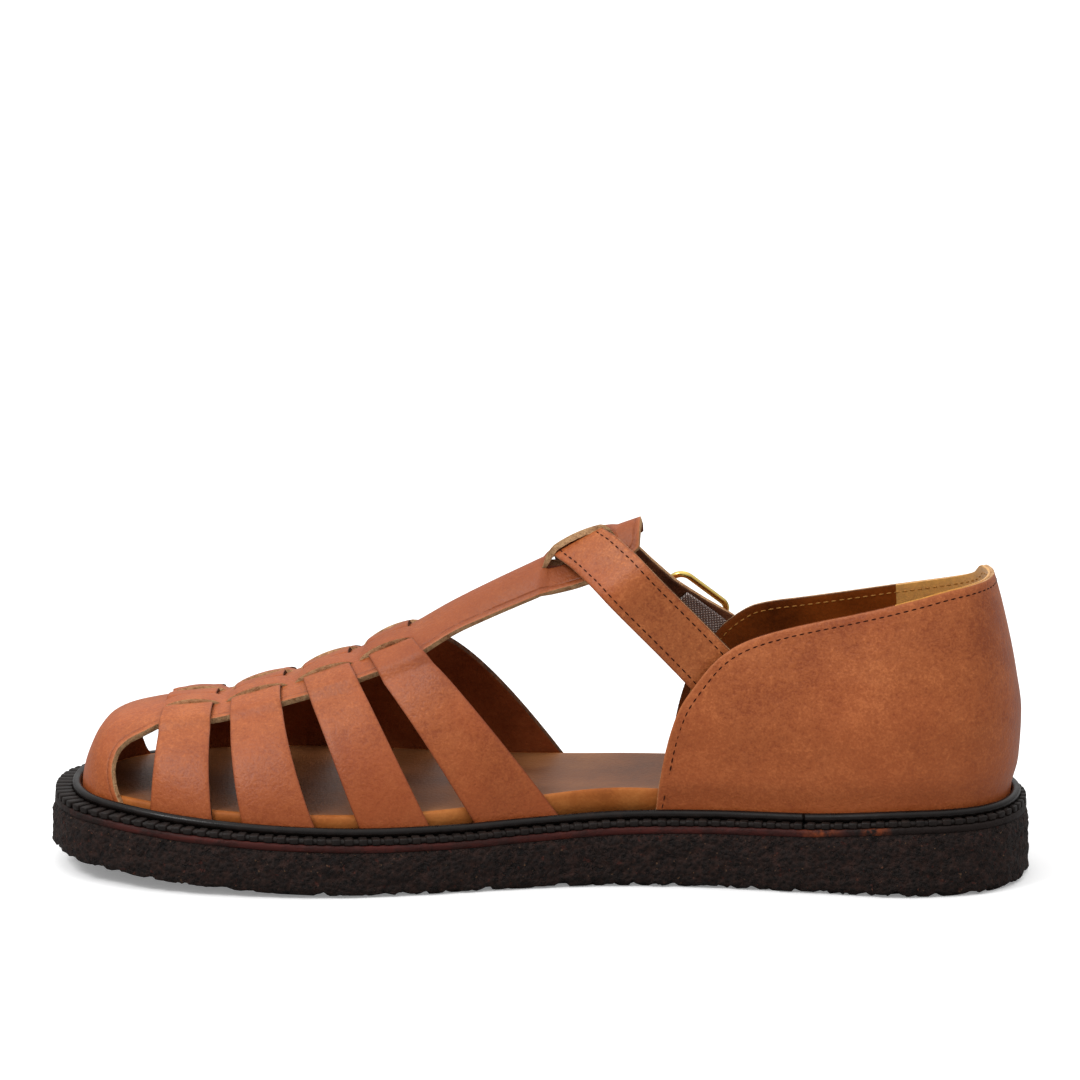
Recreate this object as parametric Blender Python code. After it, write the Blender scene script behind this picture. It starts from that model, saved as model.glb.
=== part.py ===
# Fisherman sandal, right shoe. +Z up, metres, toe at -X, inner side at -Y.
# Every solid hangs on two things: the sole outline and the last's section table.

import bmesh
import bpy
import numpy as np

MM = 0.001

# Named sizes, millimetres
SIZE = {
    "length": 272.0,
    "spring": 5.6,
    "spring_from": -36.0,
    "leather": 1.8,
    "join": 0.35,
    "gap": 0.3,
    "midsole": 1.6,
    "welt": 1.6,
    "bead": 2.5,
    "arch_lift": 4.0,
    "tooth_pitch": 3.74,
    "tooth_depth": 0.55,
    "strap_wide": 15.5,
    "strap_thick": 2.2,
    "wire": 1.5,
    "to_centre": -1.67,
}

# Sole outline, control points round the shoe from the toe tip along the inner side: x, y
OUTLINE = [
    (-136.0, -4.0),
    (-133.8, -19.0),
    (-126.6, -31.5),
    (-113.0, -40.0),
    (-96.0, -46.0),
    (-74.0, -48.6),
    (-52.0, -47.4),
    (-28.0, -42.0),
    (0.0, -33.2),
    (24.0, -28.6),
    (50.0, -28.6),
    (78.0, -32.2),
    (102.0, -34.4),
    (121.0, -29.6),
    (132.2, -18.0),
    (136.0, 0.0),
    (131.5, 17.0),
    (119.0, 29.5),
    (100.0, 36.0),
    (74.0, 38.5),
    (44.0, 40.5),
    (12.0, 45.0),
    (-20.0, 50.0),
    (-50.0, 52.0),
    (-76.0, 50.0),
    (-98.0, 43.6),
    (-115.0, 34.0),
    (-127.0, 22.5),
    (-134.0, 9.0),
]

# Crepe thickness by x
CREPE = {
    "x": [-136, -60, -20, 4, 25, 45, 75, 105, 136],
    "t": [12.3, 12.3, 12.4, 13.4, 14.6, 15.2, 15.8, 17.8, 18.2],
}

# Footbed height over the welt by x
FOOTBED = {"x": [-130, -90, -40, 20, 130], "t": [2.8, 3.8, 4.8, 4.7, 4.8]}

# How far the upper stands in from the sole edge, by x
SETBACK = {"x": [-136, -110, -80, -30, 20, 80, 136], "d": [8.4, 7.6, 7.0, 6.8, 6.4, 5.8, 5.2]}

# Last sections: x, ridge y, ridge z above ground, inner and outer section power
RIDGE = {
    "x": [
        -127.6, -126.6, -124.9, -122.5, -119.3, -113.7, -108.2, -102.6, -91.5, -80.4, -69.2,
        -58.0, -47.0, -36.0, -25.0, -13.6, -2.5, 8.6, 19.7, 30.0,
    ],
    "z": [
        22.4, 27.6, 32.6, 37.4, 40.9, 43.3, 44.4, 45.3, 46.3, 48.9, 52.6, 56.6, 61.4, 66.8,
        73.3, 78.9, 83.4, 88.4, 94.7, 99.0,
    ],
    "y": [
        -5.0, -5.0, -5.0, -5.0, -5.0, -5.0, -4.6, -4.2, -3.6, -3.0, -2.6, -2.2, -2.0, -1.8,
        -1.6, -1.4, -1.2, -1.0, -0.8, -0.6,
    ],
    "power": [
        2.3, 2.3, 2.3, 2.3, 2.3, 2.25, 2.2, 2.1, 2.0, 1.9, 1.85, 1.8, 1.75, 1.7, 1.7, 1.7, 1.7,
        1.7, 1.7, 1.7,
    ],
}

# Cross straps: x of front and rear edge at the inner sole, at the spine and at the outer sole
STRAPS = [
    {"name": "one", "in": (-106.3, -89.2), "top": (-103.6, -89.6), "out": (-107.0, -90.5)},
    {"name": "two", "in": (-81.2, -61.4), "top": (-84.6, -70.8), "out": (-80.0, -60.5)},
    {"name": "three", "in": (-51.8, -29.4), "top": (-65.4, -52.6), "out": (-50.0, -28.0)},
    {"name": "four", "in": (-20.4, 8.6), "top": (-47.6, -35.9), "out": (-17.0, 7.0)},
]

# Spine: column lines across it as arc distance from the ridge, and the slits along it
SPINE = {"half": 17.0, "slit_out": 9.2, "slit_in": 3.4}

# Half width of spine and bar by x
SPINE_HALF = {
    "x": [-110, -60, -36, -20, 2, 12, 20, 24, 28],
    "w": [17.0, 17.0, 16.2, 13.7, 13.2, 14.4, 14.8, 13.0, 10.0],
}

# Crossing of the ankle strap under the bar: slit along x, half width of the opening, end of the bar
BAR_SLIT = (1.4, 20.8)
BAR_INSET = 5.0
BAR_LIFT = 3.6
BAR_DIP = 2.8
BAR_END = 27.8

# Inner edge of the toe piece at gap one: share of the section from the sole (1) to the spine, and x
TOE_EDGE = {
    "share": [1.0, 0.86, 0.72, 0.58, 0.48, 0.4, 0.34],
    "x": [-112.8, -115.4, -116.2, -115.2, -112.6, -108.0, -104.6],
}

# Quarter: top line height by x on the inner and the outer side
TOP_IN = {
    "x": [33.6, 35.0, 37.0, 40.0, 43.5, 50.5, 57.0, 66.0, 85.0, 104.0, 118.0, 140.0],
    "z": [19.6, 30.0, 40.0, 49.0, 55.0, 64.4, 69.4, 72.8, 76.6, 80.0, 82.0, 82.4],
}
TOP_OUT = {
    "x": [34.0, 35.4, 37.0, 40.0, 44.0, 51.0, 59.0, 74.0, 88.0, 106.0, 118.0, 140.0],
    "z": [19.6, 30.0, 38.0, 47.0, 54.0, 62.5, 67.4, 69.6, 71.6, 75.0, 78.8, 82.4],
}

# Quarter wall: how far it stands out from the sole line, by share of height, at the heel and at the sides
WALL = {
    "share": [0.0, 0.04, 0.17, 0.36, 0.54, 0.82, 1.0],
    "heel": [0.0, 0.1, 2.0, 2.6, 1.0, -3.0, -6.4],
    "side": [0.0, 0.0, 1.3, 1.2, -0.4, -4.4, -7.4],
}


def closed_spline(points, n):
    """n points round a closed Catmull-Rom curve, evenly spaced, starting at the first control point"""
    p = np.array(points, float)
    m = len(p)
    fine = []
    for i in range(m):
        a, b, c, d = p[i - 1], p[i], p[(i + 1) % m], p[(i + 2) % m]
        for u in np.linspace(0, 1, 24, endpoint=False):
            square, cube = 2 * a - 5 * b + 4 * c - d, 3 * b - a - 3 * c + d
            fine.append(0.5 * (2 * b + (c - a) * u + square * u**2 + cube * u**3))
    fine = np.array(fine + [fine[0]])
    run = np.concatenate([[0], np.cumsum(np.linalg.norm(np.diff(fine, axis=0), axis=1))])
    at = np.linspace(0, run[-1], n, endpoint=False)
    return np.column_stack([np.interp(at, run, fine[:, k]) for k in (0, 1)])


def inward(loop):
    """Unit normals of a closed loop that runs toe, inner side, heel, outer side, pointing into it"""
    t = np.roll(loop, -1, 0) - np.roll(loop, 1, 0)
    n = np.column_stack([-t[:, 1], t[:, 0]])
    return n / np.linalg.norm(n, axis=1)[:, None]


def setback(x):
    return np.interp(x, SETBACK["x"], SETBACK["d"])


def ground(x):
    """Underside of the sole: flat from the heel to the ball, then toe spring"""
    reach = SIZE["length"] / 2 + SIZE["spring_from"]
    u = np.clip((SIZE["spring_from"] - np.asarray(x, float)) / reach, 0, None)
    return SIZE["spring"] * u**1.5


def crepe_top(x):
    return ground(x) + np.interp(x, CREPE["x"], CREPE["t"])


def midsole_top(x):
    return crepe_top(x) + SIZE["gap"] + SIZE["midsole"]


def welt_top(x):
    return midsole_top(x) + SIZE["gap"] + SIZE["welt"]


FINE = closed_spline(OUTLINE, 720)
BASE = FINE + inward(FINE) * setback(FINE[:, 0])[:, None]
TIP = int(np.argmin(BASE[:, 0]))
REAR = int(np.argmax(BASE[:, 0]))
INNER = np.array([BASE[i % 720] for i in range(TIP, REAR + 1 if REAR > TIP else REAR + 721)])
OUTER = np.array([BASE[i % 720] for i in range(REAR, TIP + 721 if TIP < REAR else TIP + 1)])[::-1]


def base_y(x, side):
    """y of the upper's foot line at x, on the inner (-1) or the outer (1) side"""
    c = INNER if side < 0 else OUTER
    return np.interp(x, c[:, 0], c[:, 1])


def foot_z(x):
    """Height where the upper goes down between bead and footbed"""
    return welt_top(x) - 0.6


def ridge(x, key):
    return np.interp(x, RIDGE["x"], RIDGE[key])


def section(x, t):
    """Point of the last at x, t from -1 (inner foot line) over 0 (ridge) to 1 (outer foot line)"""
    side = -1 if t < 0 else 1
    a = abs(t) * np.pi / 2
    e = 2 / ridge(x, "power")
    y0, z0, z1 = ridge(x, "y"), foot_z(x), ridge(x, "z")
    y = y0 + (base_y(x, side) - y0) * np.sin(a) ** e
    z = z0 + (z1 - z0) * max(np.cos(a), 0.0) ** e
    return np.array([x, y, z])


def share_at(x, arc):
    """The t that lies this far along the section from the ridge"""
    side = -1 if arc < 0 else 1
    ts = np.linspace(0, 1, 61)
    p = np.array([section(x, side * t) for t in ts])
    run = np.concatenate([[0], np.cumsum(np.linalg.norm(np.diff(p, axis=0), axis=1))])
    return side * np.interp(abs(arc), run, ts)


class Sheet:
    """A wall made from a grid of points on a surface: it keeps points, quads and the offset of each point"""

    def __init__(self):
        self.p, self.off, self.q, self.keys = [], [], [], {}

    def point(self, key, p, off=0.0):
        if key not in self.keys:
            self.keys[key] = len(self.p)
            self.p.append(np.asarray(p, float))
            self.off.append(off)
        return self.keys[key]

    def quad(self, a, b, c, d):
        ring = [k for i, k in enumerate((a, b, c, d)) if k != (a, b, c, d)[i - 1]]
        if len(ring) > 2:
            self.q.append(ring)

    def normals(self):
        n = np.zeros((len(self.p), 3))
        for f in self.q:
            a, b, c = self.p[f[0]], self.p[f[1]], self.p[f[2]]
            d = self.p[f[-1]]
            v = np.cross(c - a, d - b)
            v = v / (np.linalg.norm(v) + 1e-12)
            for k in f:
                n[k] += v
        return n / (np.linalg.norm(n, axis=1)[:, None] + 1e-12)

    def solid(self, name, low, high, normals=None):
        """Thickens the sheet from low to high along its normals and closes its edges"""
        n = self.normals() if normals is None else normals
        used = sorted({k for f in self.q for k in f})
        new = {k: i for i, k in enumerate(used)}
        self.q = [[new[k] for k in f] for f in self.q]
        self.p, self.off, n = [self.p[k] for k in used], [self.off[k] for k in used], n[used]
        p, off = np.array(self.p), np.array(self.off)[:, None]
        both = np.vstack([p + n * (off + high), p + n * (off + low)])
        m = len(p)
        faces, edges = [], {}
        for f in self.q:
            faces.append(list(f))
            faces.append([k + m for k in reversed(f)])
            for a, b in zip(f, f[1:] + f[:1]):
                edges[(a, b)] = True
        for a, b in edges:
            if (b, a) not in edges:
                faces.append([b, a, a + m, b + m])
        return mesh_object(name, both, faces)


def mesh_object(name, points, faces):
    me = bpy.data.meshes.new(name)
    moved = np.asarray(points, float) + [0.0, SIZE["to_centre"], 0.0]
    me.from_pydata([tuple(p) for p in moved * MM], [], faces)
    bm = bmesh.new()
    bm.from_mesh(me)
    bmesh.ops.recalc_face_normals(bm, faces=bm.faces)
    bm.to_mesh(me)
    bm.free()
    ob = bpy.data.objects.new(name, me)
    bpy.context.scene.collection.objects.link(ob)
    return ob


def merge(keep, others):
    """Joins solids into the first one and drops the rest"""
    for k, o in enumerate(others):
        mod = keep.modifiers.new(f"join_{k}", "BOOLEAN")
        mod.operation = "UNION"
        mod.solver = "EXACT"
        mod.object = o
    bpy.context.view_layer.update()
    done = bpy.data.meshes.new_from_object(keep.evaluated_get(bpy.context.evaluated_depsgraph_get()))
    keep.modifiers.clear()
    keep.data = done
    for o in others:
        bpy.data.objects.remove(o)
    return keep


def stack(name, loops, n, cap_low, cap_high, middle=2):
    """A solid from closed loops, lowest first: each loop holds n points from toe tip round the inner side.
    The caps are ladders from the inner to the outer side, with heights from a function of x and y."""
    pts, faces = [], []
    for lp in loops:
        pts.extend(lp)
    for k in range(len(loops) - 1):
        for i in range(n):
            j = (i + 1) % n
            faces.append([k * n + i, k * n + j, (k + 1) * n + j, (k + 1) * n + i])

    def cap(level, height, flip):
        half = n // 2
        rows = []
        for i in range(1, half):
            a, b = level * n + i, level * n + n - i
            row = [a]
            for m in range(1, middle + 1):
                p = pts[a] + (pts[b] - pts[a]) * m / (middle + 1)
                pts.append(np.array([p[0], p[1], height(p[0], p[1])]))
                row.append(len(pts) - 1)
            rows.append(row + [b])
        made = []
        for r0, r1 in zip(rows, rows[1:]):
            made += [[r0[m], r0[m + 1], r1[m + 1], r1[m]] for m in range(middle + 1)]
        made += [[level * n, rows[0][m + 1], rows[0][m]] for m in range(middle + 1)]
        made += [[level * n + half, rows[-1][m], rows[-1][m + 1]] for m in range(middle + 1)]
        faces.extend([list(reversed(f)) if flip else f for f in made])

    cap(0, cap_low, False)
    cap(len(loops) - 1, cap_high, True)
    return mesh_object(name, pts, faces)


def loop(n, inset, height, extra=None):
    """A closed loop inset from the sole outline, its height a function of x and y"""
    step = 720 // n if 720 % n == 0 else None
    src = FINE if step else closed_spline(OUTLINE, n)
    nor = inward(src)
    d = inset(src[:, 0]) if callable(inset) else np.full(len(src), float(inset))
    if extra is not None:
        d = d + extra
    q = src + nor * d[:, None]
    if step:
        q = q[::step]
    return [np.array([x, y, height(x, y)]) for x, y in q]


def make_outsole():
    n = 90
    base = lambda x, y: ground(x)
    loops = [
        loop(n, 3.0, base),
        loop(n, 1.2, lambda x, y: ground(x) + 0.6),
        loop(n, 0.3, lambda x, y: ground(x) + 2.0),
        loop(n, 0.0, lambda x, y: ground(x) + 4.4),
        loop(n, 0.6, lambda x, y: crepe_top(x) - 0.4),
        loop(n, 1.0, lambda x, y: crepe_top(x)),
    ]
    return stack("outsole", loops, n, base, lambda x, y: crepe_top(x))


def make_midsole():
    n = 72
    low = lambda x, y: crepe_top(x) + SIZE["gap"]
    high = lambda x, y: midsole_top(x)
    return stack("midsole", [loop(n, 0.9, low), loop(n, 0.9, high)], n, low, high)


def make_welt():
    """Storm welt: notched step outside, rolled bead against the upper"""
    n = 372
    src = closed_spline(OUTLINE, n)
    nor = inward(src)
    tooth = np.where(np.arange(n) % 2 == 0, 0.0, SIZE["tooth_depth"])
    back = setback(src[:, 0]) - SIZE["gap"]
    low = midsole_top(src[:, 0]) + SIZE["gap"]
    top = welt_top(src[:, 0])
    b = SIZE["bead"]
    rows = [
        (back, low),
        (1.0 + tooth, low),
        (1.0 + tooth, top),
        (back - b, top),
        (back - b * 0.45, top + b * 0.85),
        (back, top + b * 0.45),
    ]
    pts, faces = [], []
    for d, z in rows:
        q = src + nor * (np.zeros(n) + d)[:, None]
        pts.extend(np.column_stack([q, z]))
    m = len(rows)
    for k in range(m):
        for i in range(n):
            j = (i + 1) % n
            faces.append([k * n + i, k * n + j, ((k + 1) % m) * n + j, ((k + 1) % m) * n + i])
    return mesh_object("welt", pts, faces)


def footbed_top(x, y):
    """Top of the footbed: cupped at the heel, lifted along the inner arch"""
    yi, yo = base_y(x, -1), base_y(x, 1)
    u = (y - (yi + yo) / 2) / max((yo - yi) / 2, 1.0)
    edge = np.clip(abs(u), 0, 1) ** 4
    arch = np.exp(-(((x - 18.0) / 34.0) ** 2)) * np.clip(-u, 0, 1) ** 2 * SIZE["arch_lift"]
    heel = np.clip((x - 40.0) / 60.0, 0, 1)
    return welt_top(x) + np.interp(x, FOOTBED["x"], FOOTBED["t"]) - 0.8 + 0.8 * edge * (1 + heel) + arch


def make_insole():
    n = 72
    side = lambda extra: (lambda x: setback(x) + SIZE["leather"] + SIZE["gap"] + extra)
    low = lambda x, y: midsole_top(x) + SIZE["gap"]
    loops = [
        loop(n, side(0.0), low),
        loop(n, side(0.35), lambda x, y: footbed_top(x, y) - 2.4),
        loop(n, side(0.8), lambda x, y: footbed_top(x, y) - 0.9),
        loop(n, side(1.9), lambda x, y: footbed_top(x, y)),
    ]
    return stack("insole", loops, n, low, footbed_top, 4)


def strap_edge_x(strap, side, arc, foot_arc, which):
    """x of a strap's front (0) or rear (1) edge this far down from the ridge"""
    top = strap["top"][which]
    low = strap["in" if side < 0 else "out"][which]
    u = np.clip((abs(arc) - 6.0) / max(foot_arc - 6.0, 1.0), 0, 1)
    return top + (low - top) * u ** (1.12 if side < 0 else 1.34)


def foot_arc(x, side):
    ts = np.linspace(0, 1, 41)
    p = np.array([section(x, side * t) for t in ts])
    return float(np.linalg.norm(np.diff(p, axis=0), axis=1).sum())


def weave(arc):
    """Height of a cross strap above the last, by arc distance from the ridge"""
    t, j = SIZE["leather"], SIZE["join"]
    over = t - j
    so, si, half = SPINE["slit_out"], SPINE["slit_in"], SPINE["half"]
    at = [0, si - 0.9, si + 1.2, so - 1.2, so + 0.9, half - 0.5, half + 4.5, 200]
    up = [over, over, -0.1, -0.1, over, over, 0.0, 0.0]
    return float(np.interp(abs(arc), at, up))


def make_cross_strap(strap):
    s = Sheet()
    so, si, half = SPINE["slit_out"], SPINE["slit_in"], SPINE["half"]
    knots = [0, si - 0.9, si + 1.2, so - 1.2, so + 0.9, half - 0.5, half + 4.5]
    arcs = []
    for side in (-1, 1):
        x_mid = sum(strap["in" if side < 0 else "out"]) / 2
        full = foot_arc(x_mid, side)
        rest = list(np.linspace(half + 4.5, full, 9)[1:])
        arcs.append([(side, a, full) for a in (knots + rest)])
    line = arcs[0][::-1] + arcs[1][1:]
    across = 3
    for r, (side, a, full) in enumerate(line):
        for c in range(across + 1):
            x0 = strap_edge_x(strap, side, a, full, 0)
            x1 = strap_edge_x(strap, side, a, full, 1)
            x = x0 + (x1 - x0) * c / across
            real = foot_arc(x, side)
            free = half + 4.5
            arc = a if a <= free else free + (a - free) * (real - free) / (full - free)
            s.point((r, c), section(x, share_at(x, side * arc)), weave(arc))
    for r in range(len(line) - 1):
        for c in range(across):
            s.quad(s.keys[(r, c)], s.keys[(r, c + 1)], s.keys[(r + 1, c + 1)], s.keys[(r + 1, c)])
    return s.solid("strap_" + strap["name"], -SIZE["leather"], 0.0, facing_out(s))


def facing_out(s):
    """Normals turned to point away from the middle of the foot"""
    n = s.normals()
    p = np.array(s.p)
    centre = np.column_stack([np.clip(p[:, 0], -104, 110), np.zeros(len(p)), np.full(len(p), 24.0)])
    if np.mean(np.sum(n * (p - centre), axis=1)) < 0:
        n = -n
    return n


def spine_half(x):
    """Half width of spine and bar along the section"""
    return np.interp(x, SPINE_HALF["x"], SPINE_HALF["w"])


def slit_lead(k):
    """How far the slits of crossing k run past the strap's edge"""
    return 1.2 if k < 4 else 4.0


def bar_arc(x, a):
    """Column a of the spine at x: the outer columns follow its half width"""
    wide = spine_half(x) / SPINE["half"]
    if abs(a) > SPINE["slit_out"] + 0.1 or x > BAR_SLIT[1] + 1:
        return a * wide
    if abs(abs(a) - SPINE["slit_in"]) < 0.1 and BAR_SLIT[0] - 1 < x < BAR_SLIT[1] + 1:
        return np.sign(a) * BAR_INSET
    return a


def make_front():
    """Toe cap, spine and T-bar as one sheet, slit where the raised bands keep points of their own"""
    s = Sheet()
    so, si, half = SPINE["slit_out"], SPINE["slit_in"], SPINE["half"]
    lines = [-half, -13.0, -so, -si, 0.0, si, so, 13.0, half]
    cross = [(st["top"][0] - 0.6, st["top"][1] + 0.6) for st in STRAPS] + [BAR_SLIT]
    start = TOE_EDGE["x"][-1]
    rows = []
    for k, (a, b) in enumerate(cross):
        lead = slit_lead(k)
        rows += [a - lead, a - 0.2, a + 2.8, (a + b) / 2, b - 2.8, b + 0.2, b + lead]
        rows += [a + 6.2, b - 6.2] if k == 4 else []
    rows += list(np.linspace(cross[3][1] + 6.0, cross[4][0] - slit_lead(4) - 5.0, 6))
    rows = [start] + sorted(x for x in rows if x > start + 0.4) + [BAR_END]

    def lift(x, k):
        a, b = cross[k]
        lead = slit_lead(k)
        u = (x - a + lead) / (b - a + 2 * lead)
        wave = max(np.sin(np.pi * np.clip(u, 0, 1)), 0.0)
        if k == 4:
            return BAR_LIFT * wave**1.3
        return (SIZE["leather"] - SIZE["join"] - 0.1) * wave**0.55

    def dip(x, a):
        """How far the bar's margins sink under the ankle strap"""
        lo, hi = cross[4][0] - slit_lead(4), cross[4][1] + slit_lead(4)
        if abs(a) < si - 0.1 or not lo < x < hi:
            return 0.0
        return BAR_DIP * np.sin(np.pi * (x - lo) / (hi - lo)) ** 0.5

    # toe cap: fan of rows from the tip to its inner edge
    tip = np.array([RIDGE["x"][0] + 0.02, 0, 0])
    share_lines = [share_at(start, a) for a in lines]
    extra = list(np.linspace(1.0, abs(share_lines[0]), 9)[:-1])
    shares = [-e for e in extra] + share_lines + [e for e in reversed(extra)]
    first = len(extra)
    depth = [0.0, 0.02, 0.06, 0.13, 0.23, 0.36, 0.5, 0.64, 0.77, 0.89, 1.0]
    for r, g in enumerate(depth):
        for c, t in enumerate(shares):
            edge = start
            if not first <= c < first + len(lines):
                edge = np.interp(-abs(t), [-v for v in TOE_EDGE["share"]], TOE_EDGE["x"])
            x = tip[0] + (edge - tip[0]) * g
            if r == 0:
                s.point(("toe", 0, 0), section(x, 0.0))
                s.keys[("toe", 0, c)] = 0
            else:
                s.point(("toe", r, c), section(x, t))
    for r in range(len(depth) - 1):
        for c in range(len(shares) - 1):
            k = s.keys
            s.quad(k[("toe", r, c)], k[("toe", r, c + 1)], k[("toe", r + 1, c + 1)], k[("toe", r + 1, c)])

    # spine and bar
    for r, x in enumerate(rows):
        for c, a in enumerate(lines):
            if r == 0:
                s.keys[("bar", 0, c)] = s.keys[("toe", len(depth) - 1, first + c)]
                continue
            s.point(("bar", r, c), section(x, share_at(x, bar_arc(x, a))), -dip(x, a))
    for r in range(len(rows) - 1):
        xm = (rows[r] + rows[r + 1]) / 2
        k = next((i for i, (a, b) in enumerate(cross) if a - slit_lead(i) < xm < b + slit_lead(i)), None)
        for c in range(len(lines) - 1):
            band = None
            if k is not None and k < 4 and c in (2, 5):
                band = (c, c + 1, 0.6)
            if k == 4 and c in (3, 4):
                band = (3, 5, 0.3)
            ids = []
            for rr, cc in ((r, c), (r, c + 1), (r + 1, c + 1), (r + 1, c)):
                up = lift(rows[rr], k) if band else 0.0
                if up < 0.01:
                    ids.append(s.keys[("bar", rr, cc)])
                    continue
                inset = band[2] * (1 if cc == band[0] else -1 if cc == band[1] else 0)
                x = rows[rr]
                p = section(x, share_at(x, bar_arc(x, lines[cc]) + inset))
                if k == 4:
                    p[2] += (ridge(x, "z") - p[2]) * 0.75
                ids.append(s.point(("band", k, rr, cc), p, up))
            s.quad(*ids)
    return s.solid("upper_front", -SIZE["leather"], 0.0, facing_out(s))


def make_upper():
    front = make_front()
    return merge(front, [make_cross_strap(st) for st in STRAPS])


def quarter_columns(n):
    """Points of the foot line from the inner front edge round the heel to the outer one"""
    x_in, x_out = TOP_IN["x"][0], TOP_OUT["x"][0]
    a = INNER[INNER[:, 0] > x_in]
    b = OUTER[OUTER[:, 0] > x_out][::-1]
    line = np.vstack([a, b[1:]])
    run = np.concatenate([[0], np.cumsum(np.linalg.norm(np.diff(line, axis=0), axis=1))])
    u = np.linspace(0, 1, n)
    near = np.array([0, 1.2, 3.0, 5.4, 8.6, 12.6, 17.5, 23.5, 30.0])
    mid = np.linspace(37.0, run[-1] - 37.0, n - 2 * len(near))
    at = np.concatenate([near, mid, run[-1] - near[::-1]])
    q = np.column_stack([np.interp(at, run, line[:, k]) for k in (0, 1)])
    t = np.column_stack([np.gradient(q[:, 0]), np.gradient(q[:, 1])])
    out = np.column_stack([t[:, 1], -t[:, 0]])
    out /= np.linalg.norm(out, axis=1)[:, None]
    return q, out, at / run[-1]


def make_quarter():
    q, out, u = quarter_columns(46)
    s = Sheet()
    rows = [0.0, 0.06, 0.18, 0.34, 0.52, 0.7, 0.86, 1.0]
    for c in range(len(q)):
        x, y = q[c]
        table = TOP_IN if u[c] < 0.5 else TOP_OUT
        z0 = foot_z(x)
        z1 = max(np.interp(x, table["x"], table["z"]), z0 + 1.2)
        heel = np.clip((x - 70.0) / 50.0, 0, 1) ** 1.3
        for r, g in enumerate(rows):
            z = z0 + (z1 - z0) * g
            h = (z - z0) / 66.0
            back, side = (np.interp(h, WALL["share"], WALL[key]) for key in ("heel", "side"))
            o = back * heel + side * (1 - heel)
            s.point((r, c), [x + out[c, 0] * o, y + out[c, 1] * o, z])
    for r in range(len(rows) - 1):
        for c in range(len(q) - 1):
            s.quad(s.keys[(r, c)], s.keys[(r, c + 1)], s.keys[(r + 1, c + 1)], s.keys[(r + 1, c)])
    n = facing_out(s)
    return s.solid("heel_quarter", -SIZE["leather"], 0.0, n)


def strip(name, centre, across, width, thick, low=0.0, steps=2):
    """A strap from centre points and its direction across: thickened to the side its normals face"""
    s = Sheet()
    for r, (p, d) in enumerate(zip(centre, across)):
        d = np.asarray(d, float) / np.linalg.norm(d)
        for c in range(steps + 1):
            s.point((r, c), np.asarray(p, float) + d * width * (c / steps - 0.5))
    for r in range(len(centre) - 1):
        for c in range(steps):
            s.quad(s.keys[(r, c)], s.keys[(r, c + 1)], s.keys[(r + 1, c + 1)], s.keys[(r + 1, c)])
    n = facing_out(s)
    return s.solid(name, low, low + thick, n)


def smooth(points, n):
    """n points along an open Catmull-Rom curve"""
    p = np.array(points, float)
    p = np.vstack([2 * p[:1] - p[1:2], p, 2 * p[-1:] - p[-2:-1]])
    out = []
    for i in range(1, len(p) - 2):
        a, b, c, d = p[i - 1], p[i], p[i + 1], p[i + 2]
        for u in np.linspace(0, 1, 16, endpoint=False):
            square, cube = 2 * a - 5 * b + 4 * c - d, 3 * b - a - 3 * c + d
            out.append(0.5 * (2 * b + (c - a) * u + square * u**2 + cube * u**3))
    out = np.array(out + [p[-2]])
    run = np.concatenate([[0], np.cumsum(np.linalg.norm(np.diff(out, axis=0), axis=1))])
    at = np.linspace(0, run[-1], n)
    return np.column_stack([np.interp(at, run, out[:, k]) for k in range(out.shape[1])])


# Ankle strap: inner face of the centre line below the bar on the inner side, and beyond it on the outer side
ANKLE_IN = {
    "centre": [
        (57.5, -14.9, 47.6),
        (49.8, -15.5, 57.2),
        (41.2, -16.9, 66.6),
        (32.4, -17.8, 75.6),
        (25.4, -17.8, 82.6),
    ],
    "across": [
        (0.80, 0.02, 0.60),
        (0.80, 0.03, 0.60),
        (0.82, 0.04, 0.57),
        (0.82, 0.05, 0.57),
        (0.82, 0.06, 0.57),
    ],
}
ANKLE_OUT = {
    "centre": [
        (24.0, 21.6, 77.2),
        (30.8, 28.0, 69.8),
        (39.2, 32.2, 63.0),
        (48.0, 34.3, 56.8),
        (57.0, 35.1, 50.2),
        (65.0, 35.1, 44.0),
    ],
    "across": [
        (0.80, -0.36, 0.48),
        (0.72, -0.42, 0.56),
        (0.66, -0.36, 0.66),
        (0.64, -0.16, 0.75),
        (0.66, -0.06, 0.75),
        (0.66, -0.02, 0.75),
    ],
}
# Through the bar's slits, from the inner to the outer side
ANKLE_BAR = {
    "centre": [
        (20.5, -13.6, 84.5),
        (15.5, -9.4, 86.2),
        (10.9, -5.2, 86.9),
        (10.7, -1.0, 86.9),
        (11.2, 3.8, 87.0),
        (14.0, 8.8, 86.2),
        (18.6, 14.6, 83.2),
    ],
    "across": [
        (0.82, 0.03, 0.57),
        (0.83, 0.0, 0.56),
        (0.865, 0.0, 0.503),
        (0.865, 0.0, 0.503),
        (0.865, 0.0, 0.503),
        (0.84, -0.1, 0.53),
        (0.82, -0.22, 0.52),
    ],
}


def ankle_line():
    tables = (ANKLE_IN, ANKLE_BAR, ANKLE_OUT)
    centre, across = ([np.array(p) for t in tables for p in t[key]] for key in ("centre", "across"))
    return centre, across


def make_ankle_strap():
    pts, dirs = ankle_line()
    c = smooth(pts, 46)
    return strip("ankle_strap", c, follow(pts, dirs, c), SIZE["strap_wide"], SIZE["strap_thick"])


def follow(pts, dirs, line):
    """Directions at the points of a line, taken from those at its knots"""
    pts, dirs = np.array(pts), np.array(dirs)
    run = np.concatenate([[0], np.cumsum(np.linalg.norm(np.diff(pts, axis=0), axis=1))])
    here = np.concatenate([[0], np.cumsum(np.linalg.norm(np.diff(line, axis=0), axis=1))])
    at = here / here[-1] * run[-1]
    return np.column_stack([np.interp(at, run, dirs[:, k]) for k in range(3)])


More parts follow.
